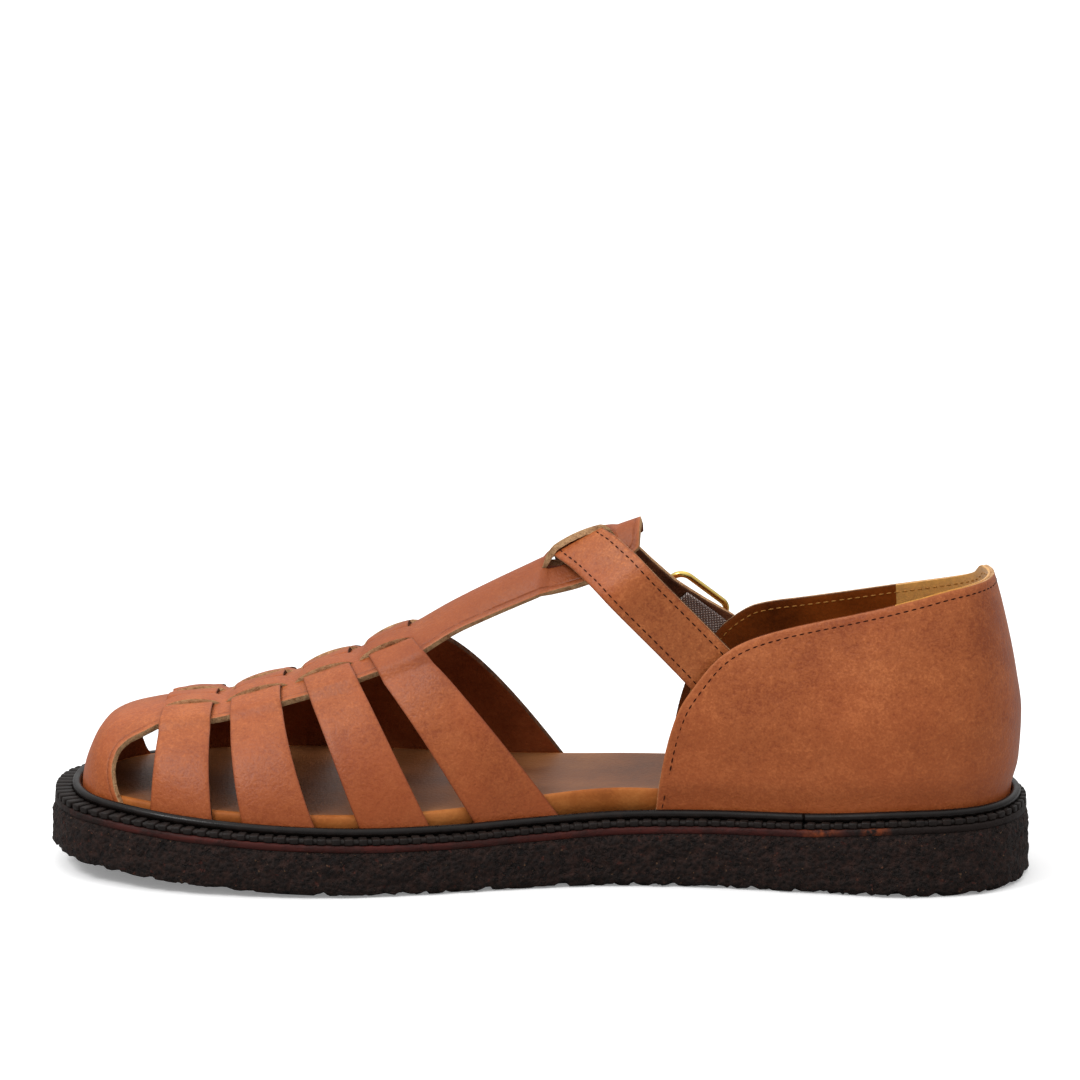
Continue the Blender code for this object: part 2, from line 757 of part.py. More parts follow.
# Elastic web under the strap's outer end, tucked inside the outer quarter
ELASTIC = {
    "centre": [(35.2, 28.2, 66.4), (41.6, 29.2, 60.8), (48.2, 28.9, 55.0), (55.0, 28.7, 49.0)],
    "across": [(0.66, -0.34, 0.67), (0.66, -0.16, 0.74), (0.66, -0.06, 0.75), (0.66, -0.02, 0.75)],
    "wide": 13.0,
    "thick": 1.1,
}
BUCKLE = {
    "centre": (37.4, 32.2, 62.5),
    "along": (0.72, 0.28, -0.6),
    "across": (0.66, -0.36, 0.66),
    "long": 19.0,
    "wide": 20.5,
    "round": 3.5,
}


def make_elastic():
    c = smooth(ELASTIC["centre"], 9)
    across = follow(ELASTIC["centre"], ELASTIC["across"], c)
    return strip("elastic_tab", c, across, ELASTIC["wide"], ELASTIC["thick"])


def tube(name, line, radius, closed=True, sides=8):
    """A round bar along a line"""
    line = np.array(line)
    n = len(line)
    t = np.roll(line, -1, 0) - np.roll(line, 1, 0)
    if not closed:
        t = np.gradient(line, axis=0)
    t /= np.linalg.norm(t, axis=1)[:, None]
    ref = np.cross(t[0], t[n // 3]) if closed else np.array([0.2, 0.9, 0.1])
    ref /= np.linalg.norm(ref)
    pts, faces = [], []
    for p, d in zip(line, t):
        a = np.cross(d, ref)
        a /= np.linalg.norm(a)
        b = np.cross(d, a)
        for k in range(sides):
            w = 2 * np.pi * (k + 0.5) / sides
            pts.append(p + radius * (np.cos(w) * a + np.sin(w) * b))
    for i in range(n if closed else n - 1):
        j = (i + 1) % n
        for k in range(sides):
            m = (k + 1) % sides
            faces.append([i * sides + k, i * sides + m, j * sides + m, j * sides + k])
    if not closed:
        faces.append(list(range(sides)))
        faces.append([(n - 1) * sides + k for k in reversed(range(sides))])
    return mesh_object(name, pts, faces)


def buckle_axes():
    e = np.array(BUCKLE["along"])
    e /= np.linalg.norm(e)
    w = np.array(BUCKLE["across"])
    w = w - e * (w @ e)
    w /= np.linalg.norm(w)
    out = np.cross(w, e)
    out = out if out[1] > 0 else -out
    r = SIZE["wire"] / 2
    return np.array(BUCKLE["centre"]) + out * (SIZE["strap_thick"] + SIZE["gap"] + r + 1.1), e, w, out


def make_buckle():
    o, e, w, out = buckle_axes()
    a, b, r = BUCKLE["long"] / 2, BUCKLE["wide"] / 2, BUCKLE["round"]
    line = []
    for q in range(4):
        sx, sy = [(1, 1), (-1, 1), (-1, -1), (1, -1)][q]
        for k in range(6):
            g = np.pi / 2 * (q + k / 5)
            line.append(o + e * (sx * (a - r) + r * np.cos(g)) + w * (sy * (b - r) + r * np.sin(g)))
    frame = tube("buckle_frame", line, SIZE["wire"] / 2)
    up = SIZE["wire"] + 0.35
    prong = [
        o - e * (a - 2.2) + out * 0.2,
        o - e * (a - 3.4) + out * 0.5,
        o - e * 2.0 + out * 0.9,
        o + e * (a - 2.4) + out * (up - 0.2),
        o + e * (a + 0.9) + out * (up - 0.1),
    ]
    tube("buckle_prong", smooth(prong, 9), 0.75, closed=False)
    return frame


# Colour, roughness and metallic value of each solid
LOOKS = {
    "outsole": ((0.025, 0.014, 0.011), 0.8, 0.0),
    "midsole": ((0.085, 0.014, 0.011), 0.5, 0.0),
    "welt": ((0.012, 0.010, 0.010), 0.35, 0.0),
    "insole": ((0.42, 0.20, 0.07), 0.45, 0.0),
    "upper_front": ((0.37, 0.11, 0.045), 0.5, 0.0),
    "heel_quarter": ((0.37, 0.11, 0.045), 0.5, 0.0),
    "ankle_strap": ((0.37, 0.11, 0.045), 0.5, 0.0),
    "elastic_tab": ((0.24, 0.18, 0.17), 0.8, 0.0),
    "buckle_frame": ((0.72, 0.52, 0.17), 0.22, 1.0),
    "buckle_prong": ((0.72, 0.52, 0.17), 0.22, 1.0),
}


def colour_solids():
    for name, (base, rough, metal) in LOOKS.items():
        material = bpy.data.materials.new(name + "_finish")
        material.use_nodes = True
        shader = material.node_tree.nodes["Principled BSDF"]
        shader.inputs["Base Color"].default_value = (*base, 1.0)
        shader.inputs["Roughness"].default_value = rough
        shader.inputs["Metallic"].default_value = metal
        ob = bpy.data.objects[name]
        ob.data.materials.clear()
        ob.data.materials.append(material)


def clear_scene():
    for ob in list(bpy.data.objects):
        bpy.data.objects.remove(ob)


clear_scene()
make_outsole()
make_midsole()
make_welt()
make_insole()
make_upper()
make_quarter()
make_ankle_strap()
make_elastic()
make_buckle()
colour_solids()
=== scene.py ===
"""Looks of a leather fisherman sandal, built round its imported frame

Lengths are millimetres up to place(), which turns them into the scene's metres.
"""

import bmesh
import bpy
import numpy as np
from bpy.props import FloatProperty, FloatVectorProperty, PointerProperty
from mathutils import Matrix, Vector, noise
from mathutils.kdtree import KDTree


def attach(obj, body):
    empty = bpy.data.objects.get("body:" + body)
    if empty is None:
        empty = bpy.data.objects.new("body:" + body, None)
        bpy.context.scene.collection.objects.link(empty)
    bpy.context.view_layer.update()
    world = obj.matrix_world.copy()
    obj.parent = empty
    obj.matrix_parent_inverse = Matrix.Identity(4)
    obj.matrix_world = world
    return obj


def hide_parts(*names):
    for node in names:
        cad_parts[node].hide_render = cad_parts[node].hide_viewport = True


bl_info = {
    "name": "Fisherman sandal",
    "version": (1, 0, 0),
    "blender": (4, 5, 0),
    "location": "3D View > Sidebar > Sandal",
    "description": "Builds the leather, sole and buckle of a woven sandal round its frame",
    "category": "Object",
}

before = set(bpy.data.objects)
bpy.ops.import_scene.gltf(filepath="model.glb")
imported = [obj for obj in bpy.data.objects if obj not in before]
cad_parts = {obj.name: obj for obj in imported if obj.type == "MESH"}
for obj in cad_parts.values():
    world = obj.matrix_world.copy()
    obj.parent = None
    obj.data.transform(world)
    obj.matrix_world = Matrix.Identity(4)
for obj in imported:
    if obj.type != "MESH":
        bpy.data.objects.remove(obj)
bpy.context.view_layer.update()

MM = 0.001
# Added to y, so that the sandal's box is centred as the frame's is
TO_CENTRE = -1.67

# Sizes shared with the frame
LENGTH = 272.0
SPRING = 5.6
SPRING_FROM = -36.0
LEATHER = 1.8
JOIN = 0.35
GAP = 0.3
MIDSOLE = 1.6
WELT = 1.6
BEAD = 2.5
ARCH_LIFT = 4.0
WIRE = 1.5
STRAP_WIDE = 15.5
STRAP_THICK = 2.2

# Sole outline from the toe tip along the inner side: x, y
OUTLINE = [
    (-136.0, -4.0), (-133.8, -19.0), (-126.6, -31.5), (-113.0, -40.0), (-96.0, -46.0), (-74.0, -48.6),
    (-52.0, -47.4), (-28.0, -42.0), (0.0, -33.2), (24.0, -28.6), (50.0, -28.6), (78.0, -32.2),
    (102.0, -34.4), (121.0, -29.6), (132.2, -18.0), (136.0, 0.0), (131.5, 17.0), (119.0, 29.5),
    (100.0, 36.0), (74.0, 38.5), (44.0, 40.5), (12.0, 45.0), (-20.0, 50.0), (-50.0, 52.0),
    (-76.0, 50.0), (-98.0, 43.6), (-115.0, 34.0), (-127.0, 22.5), (-134.0, 9.0),
]

# Crepe thickness, footbed height over the welt and setback of the upper, each by x
CREPE = {
    "x": [-136, -60, -20, 4, 25, 45, 75, 105, 136],
    "t": [12.3, 12.3, 12.4, 13.4, 14.6, 15.2, 15.8, 17.8, 18.2],
}
FOOTBED = {"x": [-130, -90, -40, 20, 130], "t": [2.8, 3.8, 4.8, 4.7, 4.8]}
SETBACK = {"x": [-136, -110, -80, -30, 20, 80, 136], "d": [8.4, 7.6, 7.0, 6.8, 6.4, 5.8, 5.2]}

# Side of the crepe: how far it stands in by height, sizes and depths of its lumps, and its ragged lower rows
CREPE_SIDE = {
    "share": [0.0, 0.012, 0.04, 0.09, 0.16, 0.3, 0.42, 0.97, 1.0],
    "in": [2.0, 1.1, 0.6, 0.3, 0.1, 0.0, 0.0, 0.5, 0.9],
}
CREPE_ROWS = 22
CREPE_LUMPS = [(6.0, 0.5), (2.6, 0.55), (1.1, 0.3)]
RAGGED_ROWS, RAGGED_HIGH = 6, 1.9

# Blocks pressed into the welt: share of the pitch, how much that varies, distance from the edge and rounding.
# The welt's ends meet on the inner side at this x
TOOTH_SHARE, TOOTH_VARIES, TOOTH_IN, TOOTH_ROUND = 0.66, 0.06, 0.85, 0.42
WELT_JOINT = 74.5

# Footbed's rounded edge: setback and drop of each row under the top
FOOTBED_EDGE = [(0.0, None), (0.0, 2.0), (0.12, 0.95), (0.45, 0.35), (0.95, 0.06), (1.6, 0.0)]

# Last sections by x: height and y of the ridge, and the power that rounds the section
RIDGE = {
    "x": [-127.6, -126.6, -124.9, -122.5, -119.3, -113.7, -108.2, -102.6, -91.5, -80.4,
          -69.2, -58.0, -47.0, -36.0, -25.0, -13.6, -2.5, 8.6, 19.7, 30.0],
    "z": [22.4, 27.6, 32.6, 37.4, 40.9, 43.3, 44.4, 45.3, 46.3, 48.9,
          52.6, 56.6, 61.4, 66.8, 73.3, 79.3, 84.8, 90.2, 95.2, 99.0],
    "y": [-5.0, -5.0, -5.0, -5.0, -5.0, -5.0, -4.6, -4.2, -3.6, -3.0,
          -2.6, -2.2, -2.0, -1.8, -1.6, -1.4, -1.2, -1.0, -0.8, -0.6],
    "power": [2.3, 2.3, 2.3, 2.3, 2.3, 2.25, 2.2, 2.1, 2.0, 1.9,
              1.85, 1.8, 1.75, 1.7, 1.7, 1.7, 1.7, 1.7, 1.7, 1.7],
}

# Cross straps: x of front and rear edge at the inner sole, at the spine and at the outer sole, and how late
# both edges turn from the spine's x to the sole's on the inner and outer side
STRAPS = [
    dict(zip(("name", "in", "top", "out", "late"), row)) for row in (
        ("one", (-104.7, -86.4), (-103.6, -89.6), (-107.0, -90.5), (1.9, 1.4)),
        ("two", (-77.9, -57.4), (-84.6, -70.8), (-80.0, -60.5), (1.7, 1.4)),
        ("three", (-45.4, -26.4), (-65.4, -52.6), (-50.0, -28.0), (1.15, 1.4)),
        ("four", (-14.2, 8.6), (-47.6, -35.9), (-17.0, 7.0), (1.12, 1.42)),
    )
]
SIDES = {-1: "in", 1: "out"}
STRAP_WALL = 1.7

# Spine half width by x, slit lines across it, and how far slits run past a strap and bands rise over it
SPINE_HALF = {
    "x": [-110, -60, -36, -20, 2, 12, 20, 24, 28],
    "w": [17.0, 17.0, 16.2, 13.7, 13.2, 14.4, 14.8, 13.0, 10.0],
}
HALF, SLIT_OUT, SLIT_IN = 17.0, 9.2, 3.4
SLIT_LEAD, BAR_LEAD = 1.2, 4.0
BAND_LIFT = 2.0

# Bar over the ankle strap: ends of its slits, half width of its band, the band's lift, the dip beside it, the
# band's fall to the outer side, and the bar's end
BAR_SLIT = (5.0, 17.4)
BAR_INSET = 5.0
BAR_LIFT = 2.0
BAR_DIP = 3.0
BAR_TILT = 1.2
BAR_END = 27.8

# Rear edge of the toe cap, by share of the section from ridge to foot line
TOE_EDGE = {
    "share": [-1.0, -0.86, -0.72, -0.58, -0.48, -0.40, -0.34],
    "x": [-112.8, -115.4, -116.2, -115.2, -112.6, -108.0, -104.6],
}

# Quarter: top line by x on both sides, and how far the wall stands out by height
TOP_IN = {
    "x": [33.6, 35.0, 37.0, 40.0, 43.5, 50.5, 57.0, 66.0, 85.0, 104.0, 118.0, 128.5, 140.0],
    "z": [19.6, 30.0, 40.0, 48.8, 54.4, 63.0, 67.4, 70.8, 75.8, 80.6, 83.4, 84.2, 84.3],
}
TOP_OUT = {
    "x": [34.0, 35.4, 37.0, 40.0, 44.0, 51.0, 59.0, 74.0, 88.0, 106.0, 118.0, 124.5, 128.5, 140.0],
    "z": [19.6, 30.0, 38.0, 47.0, 54.0, 62.5, 67.6, 70.4, 72.8, 76.1, 78.8, 81.2, 84.2, 84.3],
}
WALL = {
    "share": [0.0, 0.04, 0.17, 0.36, 0.54, 0.82, 1.0],
    "heel": [0.0, 0.1, 2.0, 2.6, 1.0, -3.0, -6.4],
    "side": [0.0, 0.0, 1.3, 1.2, -0.4, -4.4, -7.4],
}


# Suede: its share of the quarter's length on each side of the heel's middle. Then the quarter's grid and the
# thickness of its outer leather
SUEDE_SHARE = 0.215
QUARTER_COLUMNS, QUARTER_ROWS = 120, 34
QUARTER_WALL = 1.15

# Ankle strap and elastic: centre line of the inner face and the direction across it
ANKLE_IN = {
    "centre": [
        (57.5, -14.9, 47.6), (49.8, -15.5, 57.2), (41.2, -16.9, 66.6), (32.4, -17.8, 75.6),
        (25.4, -17.8, 82.6),
    ],
    "across": [
        (0.80, 0.02, 0.60), (0.80, 0.03, 0.60), (0.82, 0.04, 0.57), (0.82, 0.05, 0.57), (0.82, 0.06, 0.57),
    ],
}
ANKLE_BAR = {
    "centre": [
        (20.5, -13.6, 86.3), (16.0, -9.4, 89.2), (12.0, -5.2, 90.4), (11.2, -1.0, 89.4), (11.4, 3.8, 88.4),
        (14.0, 8.8, 86.8), (18.6, 14.6, 83.4),
    ],
    "across": [
        (0.82, 0.03, 0.57), (0.83, 0.0, 0.56), (0.865, 0.0, 0.503), (0.865, 0.0, 0.503), (0.865, 0.0, 0.503),
        (0.84, -0.1, 0.53), (0.82, -0.22, 0.52),
    ],
}
ANKLE_OUT = {
    "centre": [
        (24.0, 21.6, 77.2), (30.8, 28.0, 69.8), (39.2, 32.2, 63.0), (48.0, 34.3, 56.8), (57.0, 35.1, 50.2),
        (65.0, 35.1, 44.0),
    ],
    "across": [
        (0.80, -0.36, 0.48), (0.72, -0.42, 0.56), (0.66, -0.36, 0.66), (0.64, -0.16, 0.75),
        (0.66, -0.06, 0.75), (0.66, -0.02, 0.75),
    ],
}
ANKLE_POINTS, ANKLE_COLUMNS = 150, 15
ELASTIC = {
    "centre": [(35.2, 28.4, 66.4), (41.6, 31.3, 60.8), (48.2, 33.7, 55.0), (55.0, 34.4, 49.0)],
    "across": [(0.66, -0.34, 0.67), (0.66, -0.16, 0.74), (0.66, -0.06, 0.75), (0.66, -0.02, 0.75)],
    "wide": 13.0,
    "thick": 1.1,
}
BUCKLE = {
    "centre": (37.4, 32.2, 62.5), "along": (0.72, 0.28, -0.60), "across": (0.66, -0.36, 0.66),
    "long": 19.0, "wide": 20.5, "round": 3.5,
}
# Radius of the frame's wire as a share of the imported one's thickness, and radius of the pin
WIRE_SHARE, PIN_RADIUS = 0.62, 0.75

# Stitches: distance between them, their length and thickness, sinking, and distance of a row from the edge
STITCH = {"pitch": 2.25, "long": 1.6, "thick": 0.42, "lift": -0.02, "inset": 2.3}

# Sky brightness by height of direction, the floor's white to the camera and to the shoe, and lamps by name,
# place, size and watts
SKY = ((0.0, 0.24), (0.85, 1.34))
FLOOR_WHITE, FLOOR_BOUNCE, FLOOR_GLOW = (0.93, 0.93, 0.93), (0.4, 0.4, 0.4), (0.22, 0.22, 0.22)
LIGHTS = (
    ("key", (-0.8, -0.7, 1.15), 0.5, 8.5),
    ("rim", (0.2, 0.8, 1.3), 0.8, 1.6),
)

# Camera: degrees round and up, distance and aim height in metres, lens in millimetres
CAMERA = {
    "azimuth": 4.6, "elevation": 13.0, "distance": 1.5, "turns_about": 0.05, "aim": 0.091, "lens": 179.8,
}


def colour(r, g, b):
    """Linear colour from the 0 to 255 values of a colour picker"""
    return tuple((c / 255 / 12.92) if c < 10.3 else ((c / 255 + 0.055) / 1.055) ** 2.4 for c in (r, g, b))


def steady(x, xs, ys):
    """Smooth curve through a table that never overshoots it"""
    xs, ys = np.asarray(xs, float), np.asarray(ys, float)
    h, d = np.diff(xs), np.diff(ys) / np.diff(xs)
    m = np.zeros(len(xs))
    same = d[:-1] * d[1:] > 0
    w1, w2 = 2 * h[1:] + h[:-1], h[1:] + 2 * h[:-1]
    safe = np.where(same, d[:-1], 1.0), np.where(same, d[1:], 1.0)
    m[1:-1] = np.where(same, (w1 + w2) / (w1 / safe[0] + w2 / safe[1]), 0.0)
    m[0], m[-1] = d[0], d[-1]
    x = np.clip(np.asarray(x, float), xs[0], xs[-1])
    i = np.clip(np.searchsorted(xs, x, side="right") - 1, 0, len(xs) - 2)
    u = (x - xs[i]) / h[i]
    a = ys[i] * (1 + 2 * u) * (1 - u) ** 2 + ys[i + 1] * u**2 * (3 - 2 * u)
    return a + h[i] * (m[i] * u * (1 - u) ** 2 - m[i + 1] * u**2 * (1 - u))


def unit(v):
    """Vectors of length one"""
    return v / (np.linalg.norm(v, axis=-1, keepdims=True) + 1e-12)


def run_of(points):
    """Distance along a line of points"""
    return np.concatenate([[0], np.cumsum(np.linalg.norm(np.diff(points, axis=0), axis=1))])


def catmull(points, closed, steps=24):
    """Fine points along a Catmull-Rom curve"""
    p = np.array(points, float)
    if closed:
        p = np.vstack([p[-1:], p, p[:2]])
    else:
        p = np.vstack([2 * p[:1] - p[1:2], p, 2 * p[-1:] - p[-2:-1]])
    u = np.linspace(0, 1, steps, endpoint=False)[:, None]
    out = []
    for a, b, c, d in zip(p, p[1:], p[2:], p[3:]):
        cubic = (2 * a - 5 * b + 4 * c - d) * u**2 + (3 * b - a - 3 * c + d) * u**3
        out.append(0.5 * (2 * b + (c - a) * u + cubic))
    return np.vstack(out + [p[-2:-1]])


def sample(table, run, at):
    """Rows of a table read at these distances along it"""
    return np.column_stack([np.interp(at, run, table[:, k]) for k in range(table.shape[1])])


def even(line, n, closed=False):
    """n evenly spaced points along a line"""
    run = run_of(line)
    return sample(line, run, np.linspace(0, run[-1], n, endpoint=not closed))


def inward(ring):
    """Unit normals of a closed ring, pointing into it"""
    t = np.roll(ring, -1, 0) - np.roll(ring, 1, 0)
    return unit(np.column_stack([-t[:, 1], t[:, 0]]))


def setback(x):
    """Distance of the upper's foot line from the sole's outline"""
    return steady(x, SETBACK["x"], SETBACK["d"])


def ground(x):
    """Underside of the sole: flat from heel to ball, then toe spring"""
    u = np.clip((SPRING_FROM - np.asarray(x, float)) / (LENGTH / 2 + SPRING_FROM), 0, None)
    return SPRING * u**1.5


def crepe_top(x):
    return ground(x) + steady(x, CREPE["x"], CREPE["t"])


def midsole_top(x):
    return crepe_top(x) + GAP + MIDSOLE


def welt_top(x):
    return midsole_top(x) + GAP + WELT


def foot_z(x):
    return welt_top(x) - 0.6


RING = even(catmull(OUTLINE, True), 1440, closed=True)
RING_IN = inward(RING)
BASE = RING + RING_IN * setback(RING[:, 0])[:, None]
TIP, REAR = int(np.argmin(BASE[:, 0])), int(np.argmax(BASE[:, 0]))
AROUND = len(BASE)
INNER = np.array([BASE[i % AROUND] for i in range(TIP, REAR + (1 if REAR > TIP else AROUND + 1))])
OUTER = np.array([BASE[i % AROUND] for i in range(REAR, TIP + (1 if TIP > REAR else AROUND + 1))])[::-1]


def base_y(x, side):
    """y of the upper's foot line at x, on the inner (-1) or the outer (1) side"""
    c = INNER if side < 0 else OUTER
    return np.interp(x, c[:, 0], c[:, 1])


def ridge(x, key):
    return steady(x, RIDGE["x"], RIDGE[key])


def last(x, t):
    """Points of the last at x, t from -1 (inner foot line) over 0 (ridge) to 1 (outer foot line)"""
    x, t = np.broadcast_arrays(np.asarray(x, float), np.asarray(t, float))
    a = np.clip(np.abs(t), 0, 1) * np.pi / 2
    e = 2 / ridge(x, "power")
    y0, z0, z1 = ridge(x, "y"), foot_z(x), ridge(x, "z")
    foot = np.where(t < 0, base_y(x, -1), base_y(x, 1))
    y = y0 + (foot - y0) * np.sin(a) ** e
    z = z0 + (z1 - z0) * np.maximum(np.cos(a), 0.0) ** e
    return np.stack([x, y, z], axis=-1)


def share(x, arc):
    """t at this distance along the section from the ridge"""
    x, arc = np.broadcast_arrays(np.asarray(x, float), np.asarray(arc, float))
    side = np.where(arc < 0, -1.0, 1.0)
    ts = np.linspace(0, 1, 81)
    p = last(x[..., None], side[..., None] * ts)
    run = np.cumsum(np.linalg.norm(np.diff(p, axis=-2), axis=-1), axis=-1)
    run = np.concatenate([np.zeros(x.shape + (1,)), run], axis=-1)
    a = np.abs(arc)
    i = np.clip((run < a[..., None]).sum(-1), 1, len(ts) - 1)
    lo = np.take_along_axis(run, (i - 1)[..., None], -1)[..., 0]
    hi = np.take_along_axis(run, i[..., None], -1)[..., 0]
    u = np.clip((a - lo) / (hi - lo + 1e-9), 0, 1)
    return side * (ts[i - 1] + u * (ts[1] - ts[0]))


def foot_arc(x, side):
    """Length of the section from ridge to foot line"""
    ts = np.linspace(0, 1, 81)
    p = last(np.asarray(x, float)[..., None], side * ts)
    return np.linalg.norm(np.diff(p, axis=-2), axis=-1).sum(-1)


def footbed_top(x, y):
    """Top of the footbed: cupped at the heel, lifted along the inner arch"""
    yi, yo = base_y(x, -1), base_y(x, 1)
    u = (y - (yi + yo) / 2) / np.maximum((yo - yi) / 2, 1.0)
    edge = np.clip(abs(u), 0, 1) ** 4
    arch = np.exp(-(((x - 18.0) / 34.0) ** 2)) * np.clip(-u, 0, 1) ** 2 * ARCH_LIFT
    heel = np.clip((x - 40.0) / 60.0, 0, 1)
    return welt_top(x) + steady(x, FOOTBED["x"], FOOTBED["t"]) - 0.8 + 0.8 * edge * (1 + heel) + arch


def grid_normals(p):
    """Unit normals of a grid of points, turned away from the middle of the foot"""
    n = unit(np.cross(np.gradient(p, axis=1), np.gradient(p, axis=0)))
    bad = np.linalg.norm(n, axis=-1) < 0.5
    if bad.any():
        n[bad] = (0, 0, 1)
    centre = np.stack([np.clip(p[..., 0], -104, 110), np.zeros(p.shape[:2]), np.full(p.shape[:2], 24.0)], -1)
    return -n if np.mean(np.sum(n * (p - centre), axis=-1)) < 0 else n


class Piece:
    """A mesh in the making: grids of points, UV in metres, and how far each point is from the piece's edge"""

    EDGE_STEP, FAR = 0.15, 40.0

    def __init__(self, name):
        self.name = name
        self.bm = bmesh.new()
        self.uv = self.bm.loops.layers.uv.new("UVMap")
        self.edge = self.bm.verts.layers.float.new("edge")
        self.row = self.bm.verts.layers.int.new("row")
        self.column = self.bm.verts.layers.int.new("column")
        self.band = self.bm.faces.layers.int.new("band")

    def grid(self, points, uv=None, material=0):
        """Adds a grid whose points are given as rows and columns of millimetres"""
        rows, columns = points.shape[:2]
        made = bmesh.ops.create_grid(self.bm, x_segments=columns - 1, y_segments=rows - 1, size=0.5)["verts"]
        for v in made:
            c, r = round((v.co.x + 0.5) * (columns - 1)), round((v.co.y + 0.5) * (rows - 1))
            v[self.row], v[self.column] = r, c
            v.co = place(points[r, c])
        for f in {f for v in made for f in v.link_faces}:
            f.material_index = material
            for corner in f.loops:
                r, c = corner.vert[self.row], corner.vert[self.column]
                corner[self.uv].uv = uv[r, c] if uv is not None else (c / columns, r / rows)
        return made

    def measure_edges(self, keep=lambda e: True):
        """Writes each point's distance in millimetres to the open edges that keep() accepts"""
        spots = []
        for e in self.bm.edges:
            if e.is_boundary and keep(e):
                a, b = e.verts[0].co, e.verts[1].co
                count = max(1, int((b - a).length / (self.EDGE_STEP * MM)))
                spots += [a.lerp(b, k / count) for k in range(count + 1)]
        tree = KDTree(len(spots))
        for k, p in enumerate(spots):
            tree.insert(p, k)
        tree.balance()
        for v in self.bm.verts:
            v[self.edge] = min(tree.find(v.co)[2] / MM, self.FAR)

    def merge(self, distance=0.01):
        bmesh.ops.remove_doubles(self.bm, verts=self.bm.verts, dist=distance * MM)

    def finish(self, kinds, slot, replaces=(), facing="closed", wall=0.0, inner=0, bevel=0.0):
        """Makes the object with finishes of these kinds: its faces' first, its cut rim's second

        facing is closed for a closed shape, sheet for an open one outside the foot, and kept where faces
        already point out. wall is a sheet's thickness to its inside, inner counts on from the face's finish
        to that side's, and bevel rounds the sharp edges.
        """
        if facing == "closed":
            bmesh.ops.recalc_face_normals(self.bm, faces=self.bm.faces)
        elif facing == "sheet":
            turn_outward(self.bm)
        for f in self.bm.faces:
            f.smooth = True
        me = bpy.data.meshes.new(self.name)
        self.bm.to_mesh(me)
        self.bm.free()
        for kind in kinds:
            me.materials.append(finish_of(kind))
        ob = bpy.data.objects.new(self.name, me)
        bpy.context.scene.collection.objects.link(ob)
        if wall:
            mod = ob.modifiers.new("wall", "SOLIDIFY")
            mod.thickness, mod.offset = wall * MM, -1.0
            mod.material_offset, mod.material_offset_rim = inner, 1
            mod.use_even_offset = False
        if bevel:
            mod = ob.modifiers.new("round", "BEVEL")
            mod.width, mod.segments = bevel * MM, 2
            mod.limit_method, mod.angle_limit = "ANGLE", 0.9
            mod.use_clamp_overlap = True
        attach(ob, "root")
        if replaces:
            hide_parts(*replaces)
        return ob


def place(p):
    """Scene point of a point in millimetres"""
    return Vector((p[0] * MM, (p[1] + TO_CENTRE) * MM, p[2] * MM))


def turn_outward(bm):
    """Flips all faces of an open sheet unless most of them look away from the middle of the foot"""
    vote = sum(f.normal.dot(from_last(f.calc_center_median())) * f.calc_area() for f in bm.faces)
    if vote < 0:
        bmesh.ops.reverse_faces(bm, faces=bm.faces)


def from_last(p):
    """Away from the middle of the foot"""
    return Vector((p.x - min(max(p.x, -0.104), 0.11), p.y, p.z - 0.024))


class Value:
    """A number in a material's graph. Python's signs add Math nodes to it"""

    def __init__(self, graph, socket):
        self.graph, self.socket = graph, socket

    def do(self, operation, *values):
        node = self.graph.node("ShaderNodeMath", {"operation": operation}, *values)
        return Value(self.graph, node.outputs[0])

    def __add__(self, other):
        return self.do("ADD", self, other)

    def __sub__(self, other):
        return self.do("SUBTRACT", self, other)

    def __rsub__(self, other):
        return self.do("SUBTRACT", other, self)

    def __mul__(self, other):
        return self.do("MULTIPLY", self, other)

    def __truediv__(self, other):
        return self.do("DIVIDE", self, other)

    def __pow__(self, other):
        return self.do("POWER", self, other)

    def __abs__(self):
        return self.do("ABSOLUTE", self)

    def clamp(self):
        return self.do("MAXIMUM", self.do("MINIMUM", self, 1.0), 0.0)

    def over(self, low, high):
        """0 below low, 1 above high"""
        return ((self - low) / (high - low)).clamp()

    __radd__ = __add__
    __rmul__ = __mul__


